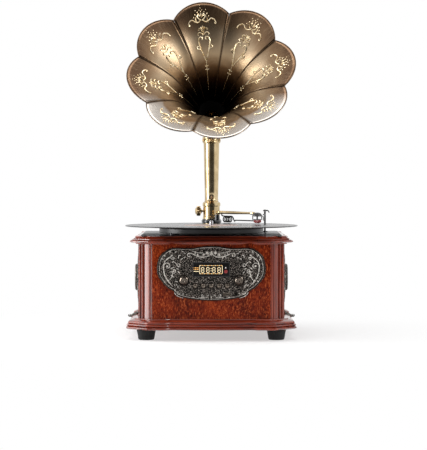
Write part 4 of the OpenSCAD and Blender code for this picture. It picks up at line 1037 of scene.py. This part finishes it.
# %% [markdown]
# ## The horn
# A flower horn is eight petals of thin sheet, each cut flat, beaten hollow and joined to its neighbours by a
# folded seam. The bell widens slowly in the throat and fast at the mouth. Every petal bulges between its seams,
# so the rim is scalloped. Each petal starts as a grid. Its columns run across the petal and its rows run from
# the throat to the rim, and every point is moved to its place on the bell. The grid's UV map then follows the
# sheet by itself. The sheet's thickness is added by a Solidify modifier, so that both sides stay parallel.

# %% The bell's shape
top_r, _, stem_top = box_mm("horn_stem")[1]
sheet_t, elbow_r, bend, bell_length = 1.2, 45, 56.5, 140
throat_r, mouth_r = top_r - sheet_t, 150.5
petals, first_petal, seam_half = 8, 8.5, 22.5
bell_start, petal_bow = 0.12, 7
bell_frame = shift(0, stem_y - elbow_r, stem_top) @ turning(bend, "X") @ shift(0, elbow_r)

def bell_r(u):
    return throat_r + (mouth_r - throat_r) * (0.54 * u + 0.46 * u ** 5)

def bell_slope(u):
    return (mouth_r - throat_r) * (0.54 + 2.3 * u ** 4) / bell_length

def bell_point(u, a, side, lift=0.0):
    """A point of the bell at height u and angle a, at side from its petal's middle, lifted outwards."""
    r = bell_r(u) * (1 - (0.03 + 0.086 * u * u) * (side / seam_half) ** 2)
    slant = math.hypot(1, bell_slope(u))
    turn = math.radians(a + side)
    r += lift / slant
    z = bell_length * u - lift * bell_slope(u) / slant + petal_bow * u ** 4 * (1 - (side / seam_half) ** 2)
    return Vector((r * math.cos(turn), r * math.sin(turn), z))

petal_turns = [first_petal + 360 / petals * i for i in range(petals)]
print("petals at", petal_turns)

# %% The petals
def petal_sheet(bm, turn):
    """One petal as a grid, whose rows stand closer together towards the rim."""
    made = bmesh.ops.create_grid(bm, x_segments=22, y_segments=46, size=1, calc_uvs=True)["verts"]
    for v in made:
        u = bell_start + (1 - bell_start) * ((v.co.y + 1) / 2) ** 0.85
        v.co = bell_point(u, turn, (seam_half - 0.12) * v.co.x)

bm = bmesh.new()
bm.loops.layers.uv.new("UVMap")
for turn in petal_turns:
    petal_sheet(bm, turn)
bm.normal_update()
if sum(f.normal.dot(f.calc_center_median() * Vector((1, 1, 0))) for f in bm.faces) < 0:
    bmesh.ops.reverse_faces(bm, faces=bm.faces)
sheets = piece("horn_sheets", bm, horn_sheet, "horn", ["horn_petals"], 50, bell_frame)
wall = sheets.modifiers.new("sheet", "SOLIDIFY")
wall.thickness = sheet_t * mm
wall.offset = 1
print("petals:", petals, "faces", len(sheets.data.polygons))

# %% [markdown]
# The seams are folded over on the back and dressed flat inside, where they show as fine dark lines. The rim is
# rolled over a wire, so that the thin edge neither cuts nor rings. Both follow the sheet: their points are taken
# from the same bell formula as the petals.

# %% Seams and rolled rim
def along_bell(places, radius):
    """Strokes from places (u, angle, side, lift) on the bell."""
    return [[(*bell_point(*place), radius) for place in line] for line in places]

def bell_piece(name, bm, material):
    piece(name, bm, material, "horn", place=bell_frame)

seam_rows = [bell_start + 0.02 + (0.985 - bell_start - 0.02) * i / 22 for i in range(23)]
inner_seams = along_bell([[(u, turn, seam_half, 0.25) for u in seam_rows] for turn in petal_turns], 0.75)
bell_piece("seam_folds", strokes(inner_seams), dark_brass)
outer_seams = along_bell([[(u, turn, seam_half, sheet_t + 0.3) for u in seam_rows] for turn in petal_turns], 1.5)
bell_piece("seam_ribs", strokes(outer_seams), dark_brass)

rim_sides = [(seam_half - 0.2) * (i / 12 - 1) for i in range(25)]
rims = along_bell([[(0.997, turn, side, 0.55) for side in rim_sides] for turn in petal_turns], 1.05)
bell_piece("rolled_rim", strokes(rims), dark_brass)
print("seams and rims:", len(inner_seams) + len(outer_seams) + len(rims))

# %% [markdown]
# Each petal carries the same embossed ornament of common scrolls: a palmette between two long curls near the
# rim, a small fleur below it, a heart with volutes, and a stem line that runs down into the throat. It is drawn
# once, flat, in millimetres across the petal and down from the rim. Half is drawn and the rest is its mirror
# image. Every point is then laid on the bell, where its distance from the rim is measured along the sheet.

# %% Depth along the sheet
arc_steps = 400
arc_down = [0.0]
for i in range(arc_steps):
    u = 1 - (i + 0.5) / arc_steps
    arc_down.append(arc_down[-1] + bell_length / arc_steps * math.hypot(1, bell_slope(u)))

def height_at(depth):
    """The bell's height u at this distance down from the rim, along the sheet."""
    i = max(k for k in range(arc_steps) if arc_down[k] <= depth)
    return 1 - (i + (depth - arc_down[i]) / (arc_down[i + 1] - arc_down[i])) / arc_steps

print("the petal is", round(arc_down[-1]), "mm deep along its sheet")

# %% Petal ornament
def flat_drawing():
    curl = [(1.2, 30.5, 0.6), (3.5, 34.5, 0.9), (8, 36.2, 1.0), (12.5, 33.2, 1.0), (15.5, 29.3, 0.9), (19, 27.4, 0.9),
            (23, 28.2, 0.9), (26, 31.2, 0.9), (26.6, 34.8, 0.8), (24.8, 36.4, 0.75), (23.2, 34.8, 0.7),
            (24.0, 33.4, 0.6)]
    small_curl = [(0.8, 33, 0.5), (3.6, 30.8, 0.7), (6.6, 27.4, 0.75), (7.6, 23.6, 0.7), (5.6, 21.2, 0.65),
                  (3.6, 22.6, 0.6), (4.4, 24.6, 0.5)]
    inner = [(9.5, 33.5, 0.5), (11.2, 29, 0.65), (10.6, 25.2, 0.6), (8.9, 24.6, 0.5)]
    side_leaf = [(0.8, 53, 0.5), (2.4, 48.5, 0.8), (5.4, 45.4, 0.9), (8.4, 46.2, 0.8), (8.8, 49, 0.7),
                 (6.8, 49.8, 0.55)]
    low_leaf = [(0.7, 58, 0.5), (3.2, 54.4, 0.8), (7.0, 52.8, 0.9), (10.4, 54.2, 0.8), (10.8, 57, 0.7),
                (8.8, 57.8, 0.55)]
    heart = [(4.6, 66.6, 0.6), (2.6, 65.8, 0.8), (2.4, 62.8, 0.9), (5.2, 60.8, 1.0), (8.8, 61.8, 1.05),
             (10.8, 65.6, 1.1), (10.4, 71.5, 1.1), (8.3, 79.5, 1.05), (5.2, 89.5, 1.0), (1.9, 99.5, 0.95),
             (0.2, 105, 0.9)]
    side_curl = [(6.8, 84.5, 0.5), (9.2, 80.8, 0.8), (12.6, 81.2, 0.9), (15, 78.6, 0.85), (13.8, 75.4, 0.75),
                 (11.8, 76.4, 0.6)]
    half = [curl, small_curl, inner, side_leaf, low_leaf, heart, side_curl]
    half += [leaf(2.2, 25.5, -62, 6.5, 1.15), leaf(5.5, 19.5, -75, 3.4, 0.9), leaf(10.2, 22.6, -68, 3.6, 0.95),
             leaf(13.6, 26.5, -80, 2.8, 0.85), leaf(9.4, 14.6, -90, 1.8, 0.8), leaf(2.4, 15.6, -90, 2, 0.8),
             leaf(1.4, 48, -60, 4.6, 0.9), leaf(3.2, 113, 150, 4.6, 0.8), leaf(0.6, 121, -28, 3.6, 0.8)]
    middle = [leaf(0, 27.5, -90, 7.5, 1.2), leaf(0, 19.2, -90, 3.2, 1.0), leaf(0, 11.4, -90, 1.8, 0.85),
              leaf(0, 6.2, -90, 1.4, 0.7), leaf(0, 59, -90, 6.5, 1.0), leaf(0, 50.5, -90, 8.5, 1.25),
              [(0, 103, 0.8), (0, 112, 0.75), (0, 124, 0.7), (0, 136, 0.62), (0, 148, 0.55), (0, 160, 0.4)]]
    return half + mirrored(half) + middle

boldness = 1.25

def embossed(turn):
    lines = []
    for line in flat_drawing():
        laid = []
        for x, depth, width in line:
            u = height_at(depth)
            laid.append((*bell_point(u, turn, math.degrees(x / bell_r(u)), -0.35), width * boldness))
        lines.append(laid)
    return lines

scrolls = strokes([line for turn in petal_turns for line in embossed(turn)], sides=1, smooth=3)
bell_piece("petal_scrolls", scrolls, old_gold)
print("ornament lines on a petal:", len(flat_drawing()))

# %% [markdown]
# ## Neck, stem and crown
# The neck is a tube bent through more than half a right angle, with the plain throat of the bell soldered on. The
# stem is a tapered tube with a crown of small leaves where the neck meets it. It turns in a brass socket, and a
# knurled screw holds it. The throat, the stem and the crown are turned parts, so they are profiles that are spun.

# %% Neck
stem_place = shift(0, stem_y, 0)
throat = [(throat_r - 0.2, 0)]
for i in range(13):
    u = (bell_start + 0.006) * i / 12
    throat.append((bell_r(u) * (1 - (0.03 + 0.086 * u * u) * 0.5 * u / bell_start), bell_length * u))
profile = throat[1:] + [(r + sheet_t, z) for r, z in reversed(throat[1:])] + [throat[1]]
# The throat cone is near-black: painted shade deep inside the horn.
bell_piece("throat_cone", turned(profile, 96), painted_shade_black)
sleeve = [(r + 0.25, z) for r, z in profile[len(throat) - 1:-1]]
sleeve = [(sleeve[0][0] + 0.9, sleeve[0][1]), (sleeve[0][0] + 0.9, sleeve[0][1] - 1.6)] + sleeve[1:]
sleeve += [(throat_r + sheet_t + 1.4, 1.4), (throat_r + sheet_t + 1.4, -0.4), (throat_r + sheet_t, -0.4)]
bell_piece("neck_sleeve", turned(sleeve, 96), dark_brass)

neck = bmesh.new()
for r in (top_r, throat_r):
    bmesh.ops.create_circle(neck, segments=72, radius=r)
bmesh.ops.bridge_loops(neck, edges=list(neck.edges))
bmesh.ops.spin(neck, geom=neck.faces[:] + neck.edges[:] + neck.verts[:], cent=(0, -elbow_r, 0), axis=(1, 0, 0),
               dvec=(0, 0, 0), angle=math.radians(bend), steps=28, use_merge=False, use_duplicate=False)
bmesh.ops.recalc_face_normals(neck, faces=neck.faces)
piece("elbow_tube", neck, polished_brass, "horn", ["horn_neck"], place=stem_place @ shift(z=stem_top))
print("neck on the stem at", round(stem_top, 1))

# %% Stem
root_z = box_mm("horn_socket")[1].z
root_r = top_r - 2.6

def stem_r(z):
    return root_r + (top_r - root_r) * (z - root_z - 3) / (stem_top - root_z - 3)

profile = [(10.4, root_z - 24), (10.4, root_z + 0.3), (root_r + 0.8, root_z + 0.3), (root_r + 1.2, root_z + 1.2),
           (root_r + 0.6, root_z + 2.4), (root_r + 0.1, root_z + 3), (root_r + 0.5, root_z + 4.4),
           (root_r, root_z + 5.8)]
profile += [(stem_r(z), z) for z in (root_z + 6 + (stem_top - root_z - 6.4) * i / 8 for i in range(9))]
profile += [(top_r - 2, stem_top - 0.4), (9.0, root_z + 1), (8.6, root_z - 24), (10.4, root_z - 24)]
piece("stem_tube", turned(profile, 96), polished_brass, "horn", ["horn_stem"], 25, stem_place)

print("stem from", round(root_z, 1), "to", round(stem_top, 1))

# %% Crown
crown_low = box_mm("stem_crown")[0].z
crown = turned([(stem_r(crown_low), crown_low), (top_r + 1, crown_low + 1), (top_r + 1.7, crown_low + 2),
                (top_r + 1.2, crown_low + 3.4), (top_r + 0.8, crown_low + 8), (top_r + 2, crown_low + 9.6),
                (top_r + 2.1, stem_top - 0.8), (top_r + 1.4, stem_top + 0.1), (top_r + 0.1, stem_top + 0.1)], 72)
leaves = []
for i in range(12):
    turn = math.radians(30 * i)
    across = Vector((-math.sin(turn), math.cos(turn), 0))
    out = Vector((math.cos(turn), math.sin(turn), 0))
    for side in (-1, 0, 1):
        tip = out * (top_r + 1.2) + across * side * 2.9
        root = out * (top_r + 0.9) + across * side * 0.5
        mid = (tip + root) / 2 + out * 0.6 + across * side * 0.8
        heights = (crown_low + 2.6, crown_low + 6, crown_low + (10.4 if side == 0 else 8.2))
        leaves.append([(*p.xy, z, w) for p, z, w in zip((root, mid, tip), heights, (0.5, 0.95, 0.35))])
piece("stem_crown_leaves", strokes(leaves, sides=1, bm=crown), polished_brass, "horn", ["stem_crown"], 30,
      stem_place)
print("strokes of the crown's leaves:", len(leaves))

# %% [markdown]
# ## Finishes of the parts that stay
# Some CAD parts already have the right shape, such as the flat panels, the platter, the arm's black parts and
# what is inside the cabinet. They keep their mesh and only get a finish.

# %% Finishes of carried-over parts
kept = {
    veneer: ["front_panel", "left_panel", "right_panel", "back_panel"],
    cloth: ["left_grille_cloth", "right_grille_cloth"],
    board_green: ["control_board"],
    black_plastic: ["display_module", "rear_plate"],
    black_gloss: ["stem_base", "arm_bracket", "arm_rest", "power_switch"],
    platter_black: ["platter"],
    rubber: ["drive_belt"],
    steel: ["encoders", "motor", "motor_pulley", "spindle", "foot_screws"],
    worn_silver: ["usb_socket"],
    cast_edge: ["aux_socket"],
    cone_black: ["left_speaker", "right_speaker"],
    sintered: ["bearing_bush"],
    polished_brass: ["horn_socket", "arm_yoke", "rear_sockets"],
}
for material, names in kept.items():
    for name in names:
        for holder in frame["nodes"][name].material_slots:
            holder.material = material
print("finished nodes:", sum(len(names) for names in kept.values()))

# %% [markdown]
# ## The side ornaments
# A cast plate covers the speaker on each side. Its edge is scalloped, its middle swells out to a ring with ribs,
# and the sound comes out between the ribs through dark cloth. It is drawn flat, like the front plate. The plate
# is an outline and a hole that are bridged and extruded, the ring and boss are spun, and the scrolls are strokes.

# %% Side plate outline
speaker_z = middle_mm("left_speaker").z
grille_h, grille_w = 84, 128
lobe_count, lobe_r, least_reach = 12, 13, 40

def on_side(s):
    """The side plate's frame: X down the cabinet, Y along it, Z out of its side."""
    return cabinet_frame() @ Matrix.Scale(s, 4, (1, 0, 0)) @ shift(half_w, 0, speaker_z) @ turning(90, "Y")

def scallop(turn):
    """How far the plate's edge is from its middle in this direction: it is cut in round lobes."""
    reach = least_reach
    for k in range(lobe_count):
        lobe_turn = 360 / lobe_count * k
        middle = 31 + 19 * abs(math.sin(math.radians(lobe_turn)))
        off = math.radians(turn - lobe_turn)
        inside = lobe_r ** 2 - (middle * math.sin(off)) ** 2
        if inside > 0 and math.cos(off) > 0:
            reach = max(reach, middle * math.cos(off) + math.sqrt(inside))
    return reach

def side_point(turn, share=1.0):
    r = scallop(turn) * share
    c, s = math.cos(math.radians(turn)), math.sin(math.radians(turn))
    return max(-grille_h / 2, min(grille_h / 2, r * c)), max(-grille_w / 2, min(grille_w / 2, r * s))

print("side plates at z", round(speaker_z, 1))

# %% Side plates
def side_scrolls():
    edge = [(*side_point(3 * i, 0.965), 2.6, 1.35) for i in range(120)]
    bead = [(*side_point(3 * i, 0.88), 2.7, 0.55) for i in range(120)]
    lines = []
    for k in range(8):
        turn = 22.5 + 45 * k
        x, y = side_point(turn, 0.72)
        for way in (-1, 1):
            points = spiral(x, y, 6.2, 1.6, turn + way * 100, way * 400, 1.25, 0.7, 16)
            lines.append([(a, b, 3.2 + 0.5 * i / 15, w) for i, (a, b, w) in enumerate(points)])
        for way in (-1, 0, 1):
            x, y = side_point(turn + 7 * way, 0.66)
            lines.append([(a, b, 3.1 + 0.9 * math.sin(math.pi * i / 4), w) for i, (a, b, w) in
                          enumerate(leaf(x, y, turn + 26 * way, 11 - 2 * abs(way), 1.5))])
    for k, (x, y) in enumerate(ring_of(26.5, 24)):
        lines.append([(a, b, 5.2 - 0.75 * i, w) for i, (a, b, w) in enumerate(leaf(x, y, 15 * k, 6.5, 1.6))])
    return [edge, bead], lines

def add_shape(bm, other):
    mesh = bpy.data.meshes.new("shape")
    other.to_mesh(mesh)
    other.free()
    bm.from_mesh(mesh)
    bpy.data.meshes.remove(mesh)

def side_ornament(name, s):
    ground = bmesh.new()
    edges = loop_of(ground, [side_point(3 * i) for i in range(120)], 0.05) + loop_of(ground, ring_of(20, 120), 0.05)
    bmesh.ops.bridge_loops(ground, edges=edges)
    raised(ground, ground.faces[:], 2.6)
    add_shape(ground, turned([(20.2, 1.2), (28, 1.2), (27, 3.2), (25, 5.4), (22.6, 7.4), (20.2, 7.2), (20.2, 1.2)], 72))
    loops, lines = side_scrolls()
    relief = strokes(lines, sides=1, smooth=3)
    strokes(loops, sides=2, smooth=2, cyclic=True, bm=relief)
    section = ring_of(2.5, 14, 21, 7.5)
    ring = turned(section + section[:1], 72, relief)
    turned([(0, 6.2), (4.6, 6.2), (5.2, 7.2), (4.2, 9.0), (2.2, 10.0), (0, 10.1)], 40, ring)
    rib = ((4.5, 7.2, 1.1), (9, 8.2, 1.0), (14, 8.3, 1.0), (19.5, 7.4, 1.3))
    ribs = [[(r * c, r * d, z, w) for r, z, w in rib] for c, d in ring_of(1, 16)]
    hoop = ring_of(12.5, 32)
    ribs.append([(x, y, 8.2, 0.9) for x, y in hoop + hoop[:1]])
    strokes(ribs, sides=1, smooth=2, bm=ring)
    for bm in (ground, ring):
        bmesh.ops.transform(bm, matrix=on_side(s), verts=bm.verts)
        if s < 0:
            bmesh.ops.reverse_faces(bm, faces=bm.faces)
    piece(name + "_ground", ground, pitted, "cabinet", [name], 40)
    piece(name + "_relief", ring, cast_grey, "cabinet")

side_ornament("left_grille", -1)
side_ornament("right_grille", 1)
print("strokes on a side plate:", sum(len(lines) for lines in side_scrolls()))

# %% [markdown]
# ## The tonearm
# The arm is a thin brass tube with a ferrule at each end. It swings on an upright pin and lifts on the hinge in
# its yoke. The domed headshell holds the red cartridge between four posts, and a bent finger lift lets it be
# raised. Everything is placed along the arm: X runs from the upright pin to the stylus.

# %% Arm frame and brass parts
shell_at, shell_r = 112, 9
along_arm = arm_frame @ shift(z=hinge_z) @ turning(90, "Y")

def soft_box(bm, low, high, edge, segments=2):
    made = box_of(bm, low, high)
    edges = {e for v in made for e in v.link_edges}
    bmesh.ops.bevel(bm, geom=list(edges), offset=edge, offset_type="OFFSET", affect="EDGES", segments=segments,
                    profile=0.5, material=-1)

tube_end = shell_at - shell_r + 1
tube = turned([(0, 1.6), (arm_r - 0.2, 1.6), (arm_r, 3.6), (3.1, 4.4), (3.4, 5.4), (3.1, 6.6), (2.7, 7.6), (2.9, 8.6),
               (2.7, 9.6), (arm_r + 0.8, 11), (arm_r + 0.6, 45), (arm_r, 82), (arm_r, tube_end - 10),
               (2.6, tube_end - 9.4), (2.8, tube_end - 8.4), (2.5, tube_end - 7.4), (2.4, tube_end - 3),
               (arm_r, tube_end - 2), (arm_r, tube_end), (0, tube_end)], 40)
cross = turning(90, "X") @ shift(z=-3)
boss = turned([(1.05, 0), (2.3, 0), (2.5, 0.4), (2.5, 5.6), (2.3, 6), (1.05, 6)], 32)
bmesh.ops.transform(boss, matrix=turning(-90, "Y") @ cross, verts=boss.verts)
add_shape(tube, boss)
piece("arm_tube", tube, polished_brass, "arm", ["tonearm"], 35, along_arm)
print("tonearm tube ends at", tube_end)

# %% Headshell
shell_z = 206.5
shell = turned([(0, 0.4), (5.5, 0.4), (6, 0), (shell_r, 0), (shell_r, 1.1), (shell_r - 0.25, 2.1), (shell_r - 0.9, 3.6),
                (shell_r - 2.1, 5.0), (shell_r - 3.9, 6.2), (shell_r - 6.2, 6.9), (0, 7.0)], 56)
bmesh.ops.translate(shell, vec=(shell_at, 0, shell_z), verts=shell.verts)
posts = [(x, y) for x in (-5.6, 5.6) for y in (-5.6, 5.6)]
for x, y in posts:
    strokes([[(shell_at + x, y, shell_z + z, 0.85) for z in (-5.4, -3.6, -1.8, 0.4)]], bm=shell)
soft_box(shell, (shell_at - 6.5, -6.5, shell_z - 6), (shell_at + 6.5, 6.5, shell_z - 4.8), 0.35)
piece("headshell_dome", shell, shell_grey, "arm", ["headshell"], 35, arm_frame)
lift = strokes([[(shell_at + 5.3, y, shell_z + z, 0.75) for y, z in (
    (5.5, 0.6), (8, 0.7), (9.6, 0.2), (9.9, -2), (9.9, -5), (10.0, -7.4))]])
piece("finger_lift", lift, shell_grey, "arm", place=arm_frame)
print("headshell posts:", len(posts))

# %% Cartridge and stylus
needle_x, needle_z = 115, groove_z + 0.3
body_low = needle_z + 2.4
pickup = bmesh.new()
soft_box(pickup, (needle_x - 8.5, -4, body_low), (needle_x + 3.5, 4, shell_z - 6), 0.5)
soft_box(pickup, (needle_x - 6, -3, needle_z + 1.2), (needle_x + 1, 3, needle_z + 2.6), 0.3)
piece("pickup_body", pickup, cartridge_red, "arm", ["cartridge"], 35, arm_frame)
stylus = strokes([[(needle_x - 5, 0, needle_z + 1.9, 0.45), (needle_x - 2, 0, needle_z + 1.5, 0.4),
                   (needle_x - 0.4, 0, needle_z + 0.9, 0.35), (needle_x, 0, needle_z + 0.1, 0.15)]])
piece("stylus", stylus, steel, "arm", place=arm_frame)
print("stylus at height", round(needle_z, 1))

# %% [markdown]
# The arm rest is a slim black post with a shelf under the arm. Its clip turns over the arm to hold it, and ends
# in a small curl for the thumb. The thumbscrew clamps the horn's stem: its head is turned and then knurled.

# %% Arm rest clip
swing_out, rest_along, rest_side = 32, 89.8, 4.5
rest_frame = cabinet_frame(pin_x, pin_y) @ turning(arm_angle + swing_out) @ shift(rest_along, rest_side)
clip_z = hinge_z + 2.6
clip = turned([(1.26, clip_z), (2.8, clip_z), (2.8, clip_z + 1.8), (2.2, clip_z + 2.6), (1.26, clip_z + 2.6),
               (1.26, clip_z)], 40)
soft_box(clip, (-1.4, -8.2, clip_z), (1.4, -2.2, clip_z + 2), 0.5)
strokes([[(2.2, 0, clip_z + 1.2, 1.2), (4.2, 0, clip_z + 1.5, 1.2), (6.2, 0, clip_z + 0.9, 1.1),
          (7.6, 0, clip_z - 0.9, 1.0), (8, 0, clip_z - 3.2, 0.7)]], bm=clip)
piece("rest_clip_curl", clip, black_gloss, "clip", ["rest_clip"], 35, rest_frame)
print("clip at", round(clip_z, 1))

# %% Thumbscrew
knurls, screw_z = 28, 213.8
thumb = turned([(0, 11.7), (2, 11.7), (2, 18), (4.4, 18), (4.4, 19.4), (6.6, 19.8), (8.4, 20.6), (9, 21.8), (9, 25.8),
                (8.5, 27), (7, 27.8), (6.2, 28), (6, 28.8), (5, 29.6), (2.6, 30.3), (0, 30.5)], 2 * knurls)
knurl(thumb, knurls, 8.3, 0.7)
piece("thumbscrew_knurled", thumb, polished_brass, "clamp_screw", ["thumbscrew"], 30,
      shift(0, stem_y, screw_z) @ turning(-90, "Y"))
print("thumbscrew knurls:", knurls)

# %% [markdown]
# ## Side leaves and the back
# Cast leaves spring from the side plates' foot and lie over the base moulding. Each lobe is a stroke that
# follows the moulding's fall and curls up at its tip. The back carries a plain plate with a screw in each corner.

# %% Side leaves
def leaf_spray():
    fall = [(1.4, 9.5), (2.6, 5.0), (5.2, 1.8), (base_reach * 0.42 + 2.6, -1.6), (base_reach * 0.62 + 3.2, -4.6),
            (base_reach * 0.78 + 3.4, -6.4), (base_reach * 0.9 + 3.2, -5.6), (base_reach * 0.93 + 2.6, -3.4),
            (base_reach * 0.86 + 2.4, -2.6)]
    lobes = []
    for j in (-2, -1, 0, 1, 2):
        share = 1 - 0.13 * abs(j)
        swell = [0.7, 1.2, 1.7, 2.0, 1.9, 1.5, 1.1, 0.9, 0.6]
        lobes.append([(half_w + x * share, j * (0.6 + 0.62 * i), base_top + z, w * share)
                      for i, ((x, z), w) in enumerate(zip(fall, swell))])
    stalks = [[(half_w + 1.2 + 0.4 * i, j * (2.4 + 1.7 * i), base_top + 7.5 + 2.4 * i - 0.5 * i * i, 1.2 - 0.2 * i)
               for i in range(5)] for j in (-1, 1)]
    return lobes + stalks

for s in (-1, 1):
    spray = strokes([[(s * x, y, z, w) for x, y, z, w in line] for line in leaf_spray()], sides=2, smooth=4)
    piece(("left" if s < 0 else "right") + "_leaf_spray", spray, cast_grey, "cabinet",
          ["side_leaves"] if s > 0 else [], 50, cabinet_frame())
print("leaves over a base reach of", round(base_reach, 1))

# %% Rear screws
low, high = box_mm("rear_plate")
screw_inset, slot_half, slot_deep = 4, 0.35, 0.5
for across, x in (("left", low.x + screw_inset), ("right", high.x - screw_inset)):
    for up, z in (("low", low.z + screw_inset), ("high", high.z - screw_inset)):
        head = turned([(0, 0), (2.6, 0), (2.6, 0.5), (1.9, 1.1), (0, 1.3)], 28)
        for way in (0, 90):
            slit = [v for v in head.verts
                    if abs((turning(way) @ v.co).x) < slot_half and v.co.length < 2.0 and v.co.z > 0.9]
            bmesh.ops.translate(head, vec=(0, 0, -slot_deep), verts=slit)
        piece(f"rear_screw_{across}_{up}", head, steel, "cabinet",
              place=shift(x, high.y, z) @ turning(-90, "X"))
print("rear plate at", round(high.y, 1))
